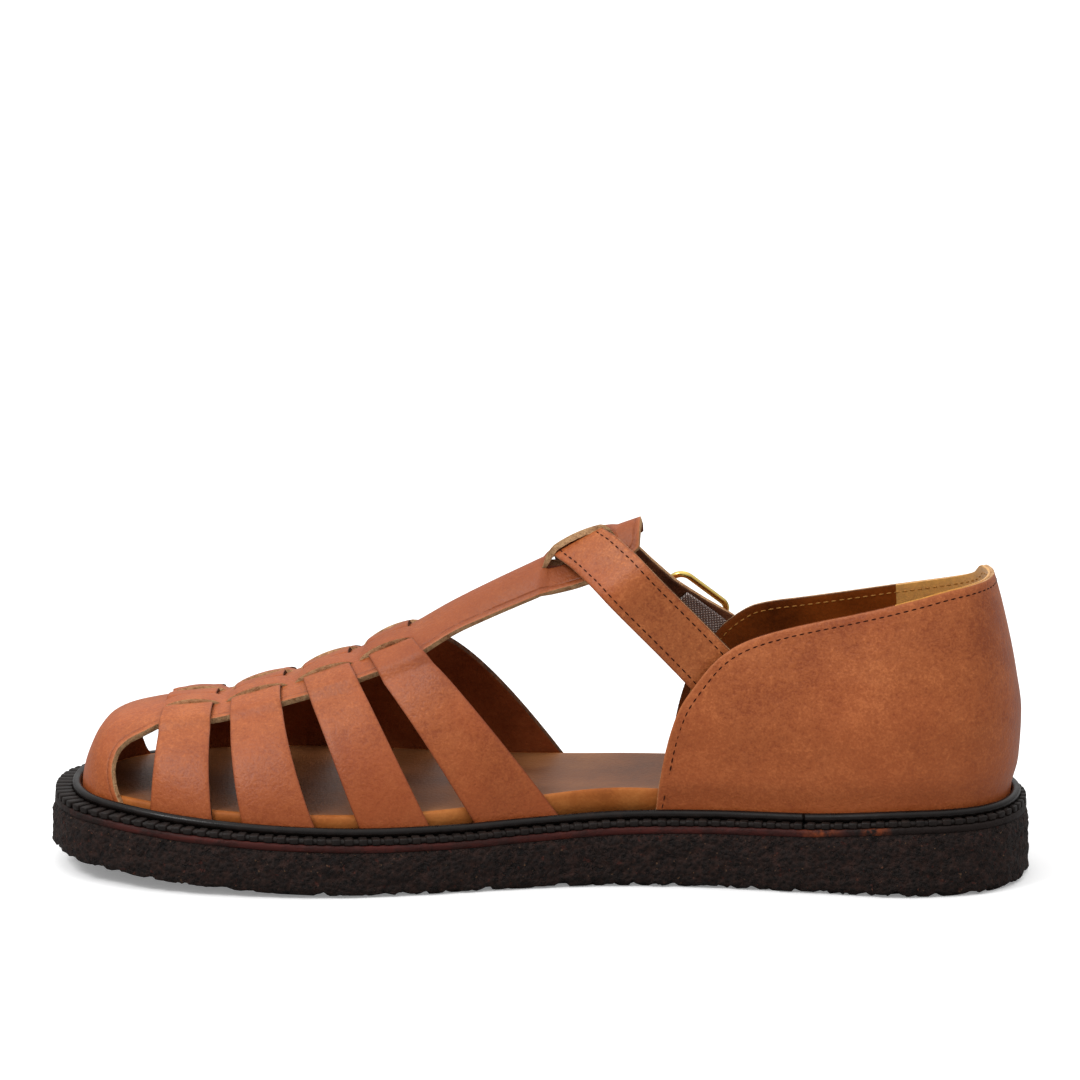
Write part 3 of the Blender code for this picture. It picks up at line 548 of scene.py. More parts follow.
class Graph:
    """A material's nodes"""

    def __init__(self, name, **shader):
        self.material = bpy.data.materials.new(name)
        self.material.use_nodes = True
        self.tree = self.material.node_tree
        self.shader = self.tree.nodes["Principled BSDF"]
        for key, value in shader.items():
            self.feed(self.shader.inputs[key.replace("_", " ").title().replace("Ior", "IOR")], value)

    def feed(self, socket, value):
        if isinstance(value, Value):
            self.tree.links.new(value.socket, socket)
        elif isinstance(value, bpy.types.NodeSocket):
            self.tree.links.new(value, socket)
        elif isinstance(value, (tuple, list)) and socket.type == "RGBA":
            socket.default_value = (*value[:3], 1.0)
        else:
            socket.default_value = value

    def node(self, kind, settings=None, *values, **named):
        """A node of this kind: settings first, then its sockets by order or by name"""
        made = self.tree.nodes.new(kind)
        for key, value in (settings or {}).items():
            if key == "stops":
                ramp = made.color_ramp
                while len(ramp.elements) < len(value):
                    ramp.elements.new(1.0)
                for element, (at, shade) in zip(ramp.elements, value):
                    element.position, element.color = at, (*shade, 1.0)
            else:
                setattr(made, key, value)
        for k, value in enumerate(values):
            self.feed(made.inputs[k], value)
        for key, value in named.items():
            self.feed(made.inputs[key.replace("_", " ").title()], value)
        return made

    def coordinates(self, stretch=(1, 1, 1)):
        """Object coordinates, stretched along the axes"""
        source = self.node("ShaderNodeTexCoord").outputs["Object"]
        return self.node("ShaderNodeMapping", None, source, Scale=stretch).outputs[0]

    def noise(self, size, detail=2.0, rough=0.5, stretch=(1, 1, 1), warp=0.0):
        """Cloudy noise with patches of about size millimetres"""
        made = self.node(
            "ShaderNodeTexNoise", None, self.coordinates(stretch),
            Scale=0.6 / (size * MM), Detail=detail, Roughness=rough, Distortion=warp,
        )
        return Value(self, made.outputs[0])

    def cells(self, size):
        """Distance to the middle of the nearest of many cells of about size millimetres"""
        made = self.node("ShaderNodeTexVoronoi", None, Vector=self.coordinates(), Scale=1 / (size * MM))
        return Value(self, made.outputs["Distance"])

    def ramp(self, value, stops):
        return self.node("ShaderNodeValToRGB", {"stops": stops}, value).outputs[0]

    def mix(self, factor, a, b, blend="MIX"):
        made = self.node("ShaderNodeMix", {"data_type": "RGBA", "blend_type": blend})
        self.feed(made.inputs[0], factor)
        self.feed(made.inputs[6], a)
        self.feed(made.inputs[7], b)
        return made.outputs[2]

    def attribute(self, name):
        return Value(self, self.node("ShaderNodeAttribute", {"attribute_name": name}).outputs["Fac"])

    def uv(self):
        """The two UV coordinates, in metres"""
        parts = self.node("ShaderNodeSeparateXYZ", None, self.node("ShaderNodeTexCoord").outputs["UV"])
        return Value(self, parts.outputs[0]), Value(self, parts.outputs[1])

    def position(self):
        """The three Object coordinates, in metres"""
        parts = self.node("ShaderNodeSeparateXYZ", None, self.node("ShaderNodeTexCoord").outputs["Object"])
        return [Value(self, parts.outputs[k]) for k in range(3)]

    def finish(self, base, rough=None, height=None, depth=1.0):
        """Sets colour, roughness and a bump whose height is in millimetres times depth"""
        self.feed(self.shader.inputs["Base Color"], base)
        if rough is not None:
            self.feed(self.shader.inputs["Roughness"], rough)
        if height is not None:
            bump = self.node("ShaderNodeBump", None, Strength=1.0, Distance=depth * MM, Height=height)
            self.feed(self.shader.inputs["Normal"], bump.outputs[0])
        return self.material


def tint(base, r, g=None, b=None):
    """A colour times a factor for each channel, or times one factor"""
    return (base[0] * r, base[1] * (r if g is None else g), base[2] * (r if b is None else b))


def waxed_leather(name, base, crease=None, redder=0.0, darker_higher=0.0, rim="pale"):
    """Waxed cognac leather: clouds, fine grain, darker higher up, painted shade darker and redder low by the
    welt, a rim and a crease along its edges
    """
    g = Graph(name, roughness=0.5, specular_ior_level=0.34)
    cloud = g.noise(30, 3, 0.55, warp=0.6)
    blotch = g.noise(8, 4, 0.62, warp=0.4)
    speck = g.noise(2.4, 4, 0.7)
    grain = g.noise(0.9, 3, 0.65)
    fine = g.noise(0.4, 2, 0.6)
    tone = (cloud - 0.5) * 1.1 + (blotch - 0.5) * 1.0 + (speck - 0.5) * 0.5
    tone = tone + (grain - 0.5) * 0.9 + (fine - 0.5) * 1.1 + 0.5
    dark, deep = tint(base, 0.7, 0.58, 0.5), tint(base, 0.46, 0.34, 0.3)
    light, wax = tint(base, 1.28, 1.42, 1.6), tint(base, 1.42, 1.75, 2.3)
    skin = g.ramp(tone, [(0.15, dark), (0.4, tint(base, 0.9, 0.86, 0.82)), (0.6, base), (0.85, light)])
    if redder:
        skin = g.mix(g.noise(15, 2, 0.5).over(0.45, 0.62) * redder, skin, tint(base, 0.98, 0.7, 0.6))
    haze = g.noise(11, 4, 0.7, warp=0.8).over(0.54, 0.74)
    skin = g.mix(haze * 0.3, skin, wax)
    scratch = g.noise(2.2, 3, 0.75, stretch=(0.35, 1, 1.4)).over(0.66, 0.8)
    skin = g.mix(scratch * 0.22, skin, wax)
    up = g.position()[2] * 1000
    # Darker higher up, from about 44 mm to 72 mm above the floor
    if darker_higher:
        skin = g.mix((up + (cloud - 0.5) * 30).over(44, 72) * darker_higher, skin, tint(base, 0.66, 0.58, 0.56))
    # Painted shade: darker and redder low down by the welt, fading out by about 51 mm up
    low = (1 - ((up - 25) / 26).clamp()) * (0.45 + (blotch - 0.5) * 0.8)
    skin = g.mix(low.clamp(), skin, tint(base, 0.78, 0.6, 0.42))
    height = (grain - 0.5) * 0.16 + (fine - 0.5) * 0.1 + (speck - 0.5) * 0.14
    rough = 0.46 + (cloud - 0.5) * 0.16 + (grain - 0.5) * 0.22
    edge = g.attribute("edge") + (g.noise(2.0, 3) - 0.5) * 0.4
    if crease is not None:
        line = (1 - (abs(edge - crease) / 0.45).clamp()) * g.noise(1.4, 2).over(0.2, 0.5)
        skin = g.mix(line * 0.4, skin, deep)
        height = height - line * 0.18
    wide, strength, shade = (0.75, 0.5, wax) if rim == "pale" else (0.6, 0.75, deep)
    skin = g.mix((1 - (edge / wide).clamp()) * strength, skin, shade)
    return g.finish(skin, rough, height)


def cut_edge(name, pale, dark, share_dark):
    """Raw cut edge of leather: torn fibres, darker where wax ran in"""
    g = Graph(name, roughness=0.9, specular_ior_level=0.15)
    fibre = g.noise(0.8, 4, 0.8)
    run = g.noise(3.4, 3, 0.65)
    middle = tuple((a + b) / 2 for a, b in zip(dark, pale))
    skin = g.ramp(fibre * 0.6 + run * 0.4, [(0.34, dark), (share_dark, middle), (0.66, pale)])
    return g.finish(skin, 0.9, (fibre - 0.5) * 0.9)


def plain_leather(name, base, dark, light, size=9.0, sheen=0.42, depth=0.06):
    """Unwaxed leather: soft clouds from dark to light and a little grain"""
    g = Graph(name, roughness=0.5, specular_ior_level=0.14)
    cloud = g.noise(size * 3, 3, 0.55)
    blotch = g.noise(size, 4, 0.6)
    grain = g.noise(0.6, 3, 0.6)
    tone = cloud * 0.5 + blotch * 0.35 + grain * 0.15
    skin = g.ramp(tone, [(0.34, dark), (0.5, base), (0.66, light)])
    height = (grain - 0.5) * depth * 2 + (blotch - 0.5) * 0.08
    return g.finish(skin, sheen + (blotch - 0.5) * 0.15, height)


def suede(name, base):
    """Brushed leather with a fine nap"""
    g = Graph(name, roughness=0.95, sheen_weight=0.35, sheen_roughness=0.6)
    nap = g.noise(1.1, 4, 0.75)
    cloud = g.noise(14, 2, 0.5)
    tone = nap * 0.6 + cloud * 0.4
    skin = g.ramp(tone, [(0.35, tint(base, 0.72)), (0.5, base), (0.65, tint(base, 1.25))])
    return g.finish(skin, 0.95, (nap - 0.5) * 0.25)


def crepe_rubber(name, base):
    """Crumbly crepe: packed granules with tan and red brown flecks, and open pits painted near black as
    painted shade
    """
    g = Graph(name, roughness=0.8, specular_ior_level=0.25)
    crumb, small = g.cells(1.4), g.cells(0.8)
    mass = g.noise(2.0, 5, 0.8)
    pit_shade = g.noise(1.5, 3, 0.75).over(0.55, 0.66)
    dark, light = tint(base, 0.35, 0.32, 0.32), tint(base, 2.2, 1.9, 1.8)
    skin = g.ramp(mass * 0.6 + crumb * 0.4, [(0.3, dark), (0.48, base), (0.68, light)])
    tan = g.noise(0.6, 2, 0.5).over(0.7, 0.73)
    skin = g.mix(tan * 0.55, skin, colour(120, 88, 62))
    red = g.noise(1.2, 2, 0.5).over(0.66, 0.7)
    skin = g.mix(red * 0.4, skin, colour(84, 34, 24))
    # Painted shade: the pits near black
    skin = g.mix(pit_shade * 0.8, skin, (0.002, 0.001, 0.001))
    height = (1 - crumb) * 0.7 + (1 - small) * 0.3 + (mass - 0.5) * 1.3 - pit_shade * 0.7
    return g.finish(skin, 0.75 + (mass - 0.5) * 0.3, height, 1.0)


def sole_stripe(name, base):
    """Red brown midsole edge: fine lines along it, worn spots, darker round toe and heel"""
    g = Graph(name, roughness=0.6, specular_ior_level=0.2)
    x = g.position()[0] * 1000
    line = g.noise(1.1, 3, 0.6, stretch=(0.12, 0.12, 1))
    worn = g.noise(9.0, 3, 0.6).over(0.6, 0.7)
    skin = g.ramp(line, [(0.3, tint(base, 0.5)), (0.5, base), (0.75, tint(base, 1.6, 1.4, 1.4))])
    skin = g.mix(worn * 0.55, skin, colour(118, 54, 28))
    grime = g.noise(5.0, 4, 0.7).over(0.46, 0.62) * 0.6
    ends = ((abs(x + 18) - 92) / 22).clamp() + grime
    skin = g.mix(ends.clamp(), skin, colour(26, 16, 13))
    scuff = (1 - (abs(x - 79) / 7).clamp()) + (1 - (abs(x - 94) / 5).clamp())
    skin = g.mix((scuff * g.noise(2.0, 3, 0.7).over(0.4, 0.6)).clamp(), skin, colour(132, 62, 30))
    return g.finish(skin, 0.6, (line - 0.5) * 0.2 + grime * 0.3)


def black_rubber(name, base, rough, mark):
    """Dark welt rubber, with the joint where its ends meet on the inner side"""
    g = Graph(name, roughness=rough, specular_ior_level=0.22)
    wear = g.noise(2.2, 3, 0.65)
    dust = g.noise(0.6, 2, 0.6)
    skin = g.ramp(wear, [(0.35, tint(base, 0.6)), (0.55, base), (0.75, tint(base, 2.0, 1.8, 1.7))])
    height = (wear - 0.5) * mark + (dust - 0.5) * mark * 0.4
    x, y = (g.position()[k] * 1000 for k in (0, 1))
    cut = (1 - (abs(x - WELT_JOINT + (wear - 0.5) * 0.8) / 0.4).clamp()) * (0 - y).clamp()
    skin = g.mix(cut, skin, (0.0, 0.0, 0.0))
    return g.finish(skin, rough + (wear - 0.5) * 0.35, height - cut * 0.8)


def polished_brass(name, base):
    """Brass wire, polished along its length"""
    g = Graph(name, roughness=0.2, metallic=1.0)
    scratch = g.noise(0.8, 3, 0.7, stretch=(1, 0.2, 1))
    haze = g.noise(4, 2)
    skin = g.ramp(haze, [(0.35, tint(base, 0.82)), (0.65, base)])
    return g.finish(skin, 0.16 + scratch * 0.16, (scratch - 0.5) * 0.02)


def elastic_cloth(name, base, dot):
    """Elastic web on the piece's UV map: a diagonal lattice of pale threads over mauve rubber yarn, with
    painted shade in its gaps
    """
    g = Graph(name, roughness=0.8, sheen_weight=0.2)
    u, v = g.uv()
    a, b = (u + v) * 900, (u - v) * 900
    lattice = a.do("SINE", a * 3.14159) ** 2.0 * b.do("SINE", b * 3.14159) ** 2.0
    skin = g.mix(lattice.over(0.3, 0.75), base, dot)
    # Painted shade: darker in the lattice's deepest gaps between threads
    skin = g.mix((1 - lattice).over(0.8, 1.0) * 0.4, skin, tint(base, 0.35))
    return g.finish(skin, 0.8, lattice * 0.3)


def thread(name, base):
    """Twisted waxed thread"""
    g = Graph(name, roughness=0.9, specular_ior_level=0.1)
    twist = g.noise(0.35, 2, 0.5, stretch=(1, 1, 2))
    skin = g.ramp(twist, [(0.3, tint(base, 0.55)), (0.7, base)])
    return g.finish(skin, 0.7, (twist - 0.5) * 0.15)


def looks():
    """The panel's settings"""
    return bpy.context.scene.sandal


def recipes():
    """How each finish is made: function, name and what it takes"""
    s = looks()
    shades = (s.leather, s.raw_edge, s.lining, s.crepe, s.brass)
    leather, raw, lining, crepe, brass = (tuple(shade) for shade in shades)
    return {
        "upper": (waxed_leather, "upper_leather", leather, 1.5, 0.35, 0.6),
        "strap": (waxed_leather, "strap_leather", leather, None, 0.3, 0.6, "dark"),
        "ankle": (waxed_leather, "ankle_leather", tint(leather, 1.06, 1.14, 1.2), None, 0.35, 0.0, "dark"),
        "quarter": (waxed_leather, "quarter_leather", leather, None, 0.15),
        "raw": (cut_edge, "raw_edge", raw, colour(128, 80, 48), 0.46),
        "dark_edge": (cut_edge, "burnished_edge", colour(122, 76, 48), colour(38, 18, 10), 0.55),
        "lining": (plain_leather, "lining_leather", lining, colour(74, 32, 8), colour(150, 78, 26)),
        "flesh": (
            plain_leather, "flesh_side", colour(92, 54, 34), colour(58, 30, 17), colour(126, 80, 52),
            5.0, 0.9, 0.2,
        ),
        # Inner faces: darker than the outer leather, partly their own colour and partly painted shade
        "inside": (
            plain_leather, "inside_leather", colour(130, 64, 30), colour(98, 44, 19), colour(154, 82, 42),
            6.0, 0.8, 0.15,
        ),
        "footbed": (
            plain_leather, "footbed_leather", colour(132, 82, 48), colour(94, 54, 28), colour(160, 108, 68),
            12.0, 0.4,
        ),
        "footbed_edge": (
            plain_leather, "footbed_edge", colour(166, 94, 42), colour(120, 60, 24), colour(194, 122, 62),
            6.0, 0.5,
        ),
        "suede": (suede, "heel_suede", colour(206, 148, 62)),
        "crepe": (crepe_rubber, "crepe_rubber", crepe),
        "stripe": (sole_stripe, "midsole_rubber", colour(62, 22, 17)),
        "welt": (black_rubber, "welt_rubber", colour(26, 18, 15), 0.55, 0.3),
        "bead": (black_rubber, "bead_rubber", colour(20, 14, 12), 0.3, 0.06),
        "brass": (polished_brass, "polished_brass", brass),
        "elastic": (elastic_cloth, "elastic_web", colour(126, 104, 98), colour(228, 218, 212)),
        "thread": (thread, "brown_thread", colour(58, 22, 12)),
        "pale_thread": (thread, "pale_thread", colour(196, 138, 70)),
    }


made_finishes = {}


def finish_of(kind):
    """A material of this kind, made once"""
    if kind not in made_finishes:
        make, *ingredients = recipes()[kind]
        made_finishes[kind] = make(*ingredients)
    return made_finishes[kind]


def ring_points(insets, heights):
    """Rows of points round the sole: insets and heights by x, each a function or a number"""
    rows = []
    for inset, height in zip(insets, heights):
        d, z = (of(RING[:, 0]) if callable(of) else np.full(AROUND, float(of)) for of in (inset, height))
        rows.append(np.column_stack([RING + RING_IN * d[:, None], z]))
    return np.array(rows)


def closed_rows(rows, step):
    """Every step-th column of closed rows, with the first one again at the end"""
    kept = rows[:, ::step]
    return np.concatenate([kept, kept[:, :1]], axis=1)


def ladder(ring, height, across):
    """A cap grid between the inner and outer half of a closed row of points"""
    start = int(np.argmin(ring[:, 0]))
    ring = np.roll(ring, -start, axis=0)
    n = len(ring)
    a = ring[: n // 2 + 1]
    b = np.vstack([ring[:1], ring[n // 2 + n % 2:][::-1]])[: len(a)]
    u = np.linspace(0, 1, across + 1)[None, :, None]
    p = a[:, None] * (1 - u) + b[:, None] * u
    z = height(p[..., 0], p[..., 1])
    z[:, 0], z[:, -1] = a[:, 2], b[:, 2]
    return np.dstack([p[..., :2], z])


def roughen(points, normals, scales, seed):
    """Moves points along their normals by noise: scales is a list of (size, amount) in millimetres"""
    out = points.copy()
    flat, nor = out.reshape(-1, 3), normals.reshape(-1, 3)
    for k, p in enumerate(flat):
        move = sum(a * noise.noise(Vector(p) / s + Vector((seed, s, 0))) for s, a in scales)
        flat[k] = p + nor[k] * move
    return out


def build_outsole():
    """Crepe wedge with a lumpy side and a ragged lower edge"""
    piece = Piece("crepe_outsole")
    tall = np.linspace(0, 1, CREPE_ROWS)
    insets = [float(steady(u, CREPE_SIDE["share"], CREPE_SIDE["in"])) for u in tall]
    heights = [(lambda x, u=u: ground(x) + u * (crepe_top(x) - ground(x))) for u in tall]
    rows = closed_rows(ring_points(insets, heights), 2)[:, :-1]
    out = np.concatenate([-RING_IN[::2], np.zeros((AROUND // 2, 1))], axis=1)
    fade = np.clip(np.minimum(tall, 1 - tall) / 0.08, 0, 1)[:, None, None]
    rough = roughen(rows, np.broadcast_to(out, rows.shape), CREPE_LUMPS, 3.0)
    rows = rows + (rough - rows) * (0.35 + 0.65 * fade)
    for r in range(RAGGED_ROWS):
        for c in range(rows.shape[1]):
            x, y, z = rows[r, c]
            lump = noise.noise(Vector((x / 3.4, y / 3.4, 7.0)))
            lump = lump + 0.6 * noise.noise(Vector((x / 1.5, y / 1.5, 2.0)))
            rows[r, c, 2] = z + max(lump + 0.15, 0.0) * RAGGED_HIGH * (1 - r / RAGGED_ROWS)
    piece.grid(np.concatenate([rows, rows[:, :1]], axis=1))
    piece.grid(ladder(rows[0][::2], lambda x, y: ground(x) + 0.12, 24))
    piece.grid(ladder(rows[-1][::2], lambda x, y: crepe_top(x), 8))
    piece.merge(0.02)
    piece.finish(["crepe"], "crepe", ["outsole"])


def build_midsole():
    """Thin red brown layer between crepe and welt, its edge a little rounded"""
    piece = Piece("midsole_edge")
    low, high = (lambda x: crepe_top(x) - 0.1), (lambda x: midsole_top(x) + 0.1)
    heights = [low, lambda x: low(x) + 0.25, lambda x: (low(x) + high(x)) / 2, lambda x: high(x) - 0.25, high]
    rows = closed_rows(ring_points([1.2, 0.75, 0.7, 0.75, 1.2], heights), 3)
    piece.grid(rows)
    piece.grid(ladder(rows[0][:-1], lambda x, y: low(x), 6))
    piece.grid(ladder(rows[-1][:-1], lambda x, y: high(x), 6))
    piece.merge(0.02)
    piece.finish(["stripe"], "midsole", ["midsole"])


def build_welt_strip():
    """Flat strip of the welt, under its blocks and bead"""
    piece = Piece("welt_strip")
    inner = lambda x: setback(x) + 0.6
    low, top = (lambda x: midsole_top(x) + 0.1), (lambda x: welt_top(x) - 0.55)
    piece.grid(closed_rows(ring_points([inner, 1.5, 1.5, inner, inner], [low, low, top, top, low]), 2))
    piece.merge()
    piece.finish(["welt"], "welt", ["welt"])


def build_welt_teeth():
    """Rounded blocks pressed by a wheel along the welt's edge"""
    piece = Piece("welt_teeth")
    pitch = looks().tooth_pitch / MM
    run = run_of(np.vstack([RING, RING[:1]]))
    count = int(round(run[-1] / pitch))
    at = np.interp(np.arange(count) * run[-1] / count, run, np.arange(AROUND + 1)) % AROUND
    for k, i in enumerate(at.astype(int) % AROUND):
        p, n = RING[i], RING_IN[i]
        reach = float(setback(p[0])) - BEAD - 0.9
        wide = run[-1] / count * (TOOTH_SHARE + TOOTH_VARIES * noise.noise(Vector((k * 0.7, 1.0, 0.0))))
        low = float(midsole_top(p[0])) + 0.15
        top = float(welt_top(p[0])) + 0.12 * noise.noise(Vector((k * 1.3, 0.0, 4.0)))
        mid = p + n * (TOOTH_IN + reach / 2)
        turn = Matrix((
            (-n[1], n[0], 0, mid[0] * MM),
            (n[0], n[1], 0, (mid[1] + TO_CENTRE) * MM),
            (0, 0, 1, (low + top) / 2 * MM),
            (0, 0, 0, 1),
        ))
        size = Matrix.Diagonal((wide * MM, reach * MM, (top - low) * MM, 1.0))
        bmesh.ops.create_cube(piece.bm, size=1.0, matrix=turn @ size)
    bmesh.ops.recalc_face_normals(piece.bm, faces=piece.bm.faces)
    bmesh.ops.bevel(
        piece.bm, geom=piece.bm.edges, offset=TOOTH_ROUND * MM, offset_type="OFFSET", affect="EDGES",
        segments=2, profile=0.5, material=-1,
    )
    piece.finish(["welt"], "welt")


def build_welt_bead():
    """Rolled bead of the welt against the upper"""
    piece = Piece("welt_bead")
    centre = lambda x: setback(x) - GAP - BEAD * 0.5
    angles = np.linspace(0, 2 * np.pi, 15)
    piece.grid(closed_rows(ring_points(
        [(lambda x, w=w: centre(x) - BEAD * 0.52 * np.cos(w)) for w in angles],
        [(lambda x, w=w: welt_top(x) + 0.75 + 1.35 * np.sin(w)) for w in angles],
    ), 2))
    piece.merge()
    piece.finish(["bead"], "welt")


def build_footbed():
    """Leather footbed, cupped at the heel, with a rounded edge"""
    piece = Piece("footbed")
    low = lambda x: midsole_top(x) + 0.2
    rows = []
    for extra, drop in FOOTBED_EDGE:
        q = RING + RING_IN * (setback(RING[:, 0]) + LEATHER + 0.1 + extra)[:, None]
        z = low(q[:, 0]) if drop is None else footbed_top(q[:, 0], q[:, 1]) - drop
        rows.append(np.column_stack([q, z]))
    rows = closed_rows(np.array(rows), 4)
    piece.grid(rows, material=1)
    piece.grid(ladder(rows[-1][:-1], footbed_top, 22))
    piece.grid(ladder(rows[0][:-1], lambda x, y: low(x), 4), material=1)
    piece.merge(0.02)
    piece.finish(["footbed", "footbed_edge"], "insole", ["insole"])


def spread(knots, step):
    """Values through all knots, no further apart than step"""
    out = [knots[0]]
    for a, b in zip(knots, knots[1:]):
        out += list(np.linspace(a, b, max(1, int(np.ceil((b - a) / step))) + 1)[1:])
    return np.array(out)


def spine_arc(x, line):
    """Distance from the ridge of a line along the spine, given by its distance where the spine is widest"""
    half = steady(x, SPINE_HALF["x"], SPINE_HALF["w"])
    opening = np.clip(np.minimum(x - (BAR_SLIT[0] - 8.0), BAR_SLIT[1] + 8.0 - x) / 4.0, 0, 1)
    inner = SLIT_IN + (BAR_INSET - SLIT_IN) * opening
    outer = np.maximum(np.minimum(SLIT_OUT, half * 0.72), inner + 1.2)
    at = np.abs(line)
    near = at / SLIT_IN * inner
    mid = inner + (at - SLIT_IN) / (SLIT_OUT - SLIT_IN) * (outer - inner)
    far = outer + (at - SLIT_OUT) / (HALF - SLIT_OUT) * (half - outer)
    return np.sign(line) * np.where(at <= SLIT_IN, near, np.where(at <= SLIT_OUT, mid, far))


def add_toe_cap(piece, lines, start):
    """Grid from the toe's tip to the cap's rear edge, which meets the spine's grid at x = start"""
    spine = share(np.full(len(lines), start), spine_arc(np.full(len(lines), start), lines))
    beside = np.linspace(1.0, abs(spine[0]), 26)[:-1]
    shares = np.concatenate([-beside, spine, beside[::-1]])
    edge = steady(-np.abs(shares), TOE_EDGE["share"], TOE_EDGE["x"])
    edge = np.where(np.abs(shares) > abs(spine[0]) + 1e-6, edge, start)
    g = np.linspace(0, 1, 44) ** 1.7
    tip = RIDGE["x"][0] + 0.02
    x = tip + (edge[None, :] - tip) * g[:, None]
    cap = last(x, np.broadcast_to(shares, x.shape))
    cap[0] = cap[0, len(shares) // 2]
    for v in piece.grid(cap, uv=np.dstack([x, np.broadcast_to(shares * 40, x.shape)]) * MM):
        v[piece.row] = -1


def build_toe_and_spine():
    """Toe cap, spine and bar: one sheet, slit along its weave lines, with the bands between slits raised"""
    piece = Piece("toe_cap_and_spine")
    start = TOE_EDGE["x"][-1]
    crossings = [(s["top"][0] - 0.6, s["top"][1] + 0.6) for s in STRAPS] + [BAR_SLIT]
    leads = [SLIT_LEAD] * len(STRAPS) + [BAR_LEAD]
    slits = [(max(a - lead, start + 0.4), b + lead) for (a, b), lead in zip(crossings, leads)]
    bar_slit = len(STRAPS)
    xs = spread([start] + sorted(x for ends in slits for x in ends) + [BAR_END], 1.3)
    lines = spread([-HALF, -SLIT_OUT, -SLIT_IN, 0.0, SLIT_IN, SLIT_OUT, HALF], 1.15)
    grid_x, grid_line = np.meshgrid(xs, lines, indexing="ij")
    arc = spine_arc(grid_x, grid_line)
    flat = last(grid_x, share(grid_x, arc))
    normals = grid_normals(flat)
    inset = np.zeros(len(lines))
    for line, towards in ((-SLIT_OUT, 1), (-SLIT_IN, -1), (SLIT_IN, 1), (SLIT_OUT, -1)):
        inset += towards * np.exp(-(((lines - line) / 0.5) ** 2)) * 0.6
    drawn_in = last(grid_x, share(grid_x, arc + inset[None, :]))

    nearest = lambda values, to: int(np.argmin(np.abs(values - to)))
    bands = []
    for k, (a, b) in enumerate(slits):
        middle, beside = ((-SLIT_IN, SLIT_IN),), ((-SLIT_OUT, -SLIT_IN), (SLIT_IN, SLIT_OUT))
        for lo, hi in middle if k == bar_slit else beside:
            bands.append((k, nearest(xs, a), nearest(xs, b), nearest(lines, lo), nearest(lines, hi)))
    row, column, band = piece.row, piece.column, piece.band
    piece.grid(flat, uv=np.dstack([grid_x, arc]) * MM)
    for f in piece.bm.faces:
        r, c = min(v[row] for v in f.verts), min(v[column] for v in f.verts)
        for k, r0, r1, c0, c1 in bands:
            if r0 <= r < r1 and c0 <= c < c1:
                f[band] = k + 1
    add_toe_cap(piece, lines, start)
    piece.bm.verts.index_update()
    piece.merge(0.02)
    on_foot_line = lambda v: v[row] == -1 and v.co.z < (float(foot_z(v.co.x / MM)) + 0.4) * MM
    piece.measure_edges(lambda e: not all(on_foot_line(v) for v in e.verts))

    between = lambda e: len({f[band] for f in e.link_faces}) == 2
    along = lambda a, b: a[row] >= 0 and b[row] >= 0 and a[column] == b[column]
    cut = [e for e in piece.bm.edges if between(e) and along(*e.verts)]
    bmesh.ops.split_edges(piece.bm, edges=cut)
    bar_from, bar_to = slits[bar_slit]
    for v in piece.bm.verts:
        kinds = {f[band] for f in v.link_faces}
        key = (v[row], v[column])
        x = xs[key[0]]
        if kinds == {0} and v[row] >= 0 and bar_from < x < bar_to:
            depth = BAR_DIP * np.sin(np.pi * (x - bar_from) / (bar_to - bar_from)) ** 0.5
            fade = 1 - 0.8 * ((abs(arc[key]) - BAR_INSET) / 9.0) ** 2
            v.co = place(flat[key] - normals[key] * depth * max(fade, 0.0))
        if len(kinds) != 1 or 0 in kinds:
            continue
        k = kinds.pop() - 1
        a, b = slits[k]
        wave = max(np.sin(np.pi * np.clip((x - a) / (b - a), 0, 1)), 0.0)
        power, drawn, lift = (0.65, 0.5, BAR_LIFT) if k == bar_slit else (0.6, 1.0, BAND_LIFT)
        shape = wave ** power
        p = flat[key] + (drawn_in[key] - flat[key]) * shape * drawn
        out = normals[key]
        if k == bar_slit:
            level = float(ridge(x, "z")) - BAR_TILT * arc[key] / BAR_INSET
            p[2] += (level - p[2]) * min(shape * 1.6, 1.0)
            out = normals[key[0], nearest(lines, 0.0)]
        v.co = place(p + out * lift * shape)
    piece.finish(["upper", "raw", "inside"], "upper", ["upper_front"], "sheet", LEATHER, inner=2, bevel=0.28)


def strap_weave(arc):
    """Height of a cross strap above the last, by distance from the ridge"""
    over = LEATHER - JOIN
    at = [0, SLIT_IN - 1.2, SLIT_IN + 1.3, SLIT_OUT - 1.3, SLIT_OUT + 1.2, HALF - 0.5, HALF + 4.5, 200]
    up = [over, over, -0.15, -0.15, over, over, 0.0, 0.0]
    return steady(np.abs(arc), at, up)


def strap_edges(strap, side, arc, full):
    """x of a strap's front and rear edge this far down from the ridge"""
    ends, late = strap[SIDES[side]], strap["late"][side > 0]
    u = np.clip((arc - 6.0) / np.maximum(full - 6.0, 1.0), 0, 1) ** late
    return [strap["top"][w] + (ends[w] - strap["top"][w]) * u for w in (0, 1)]


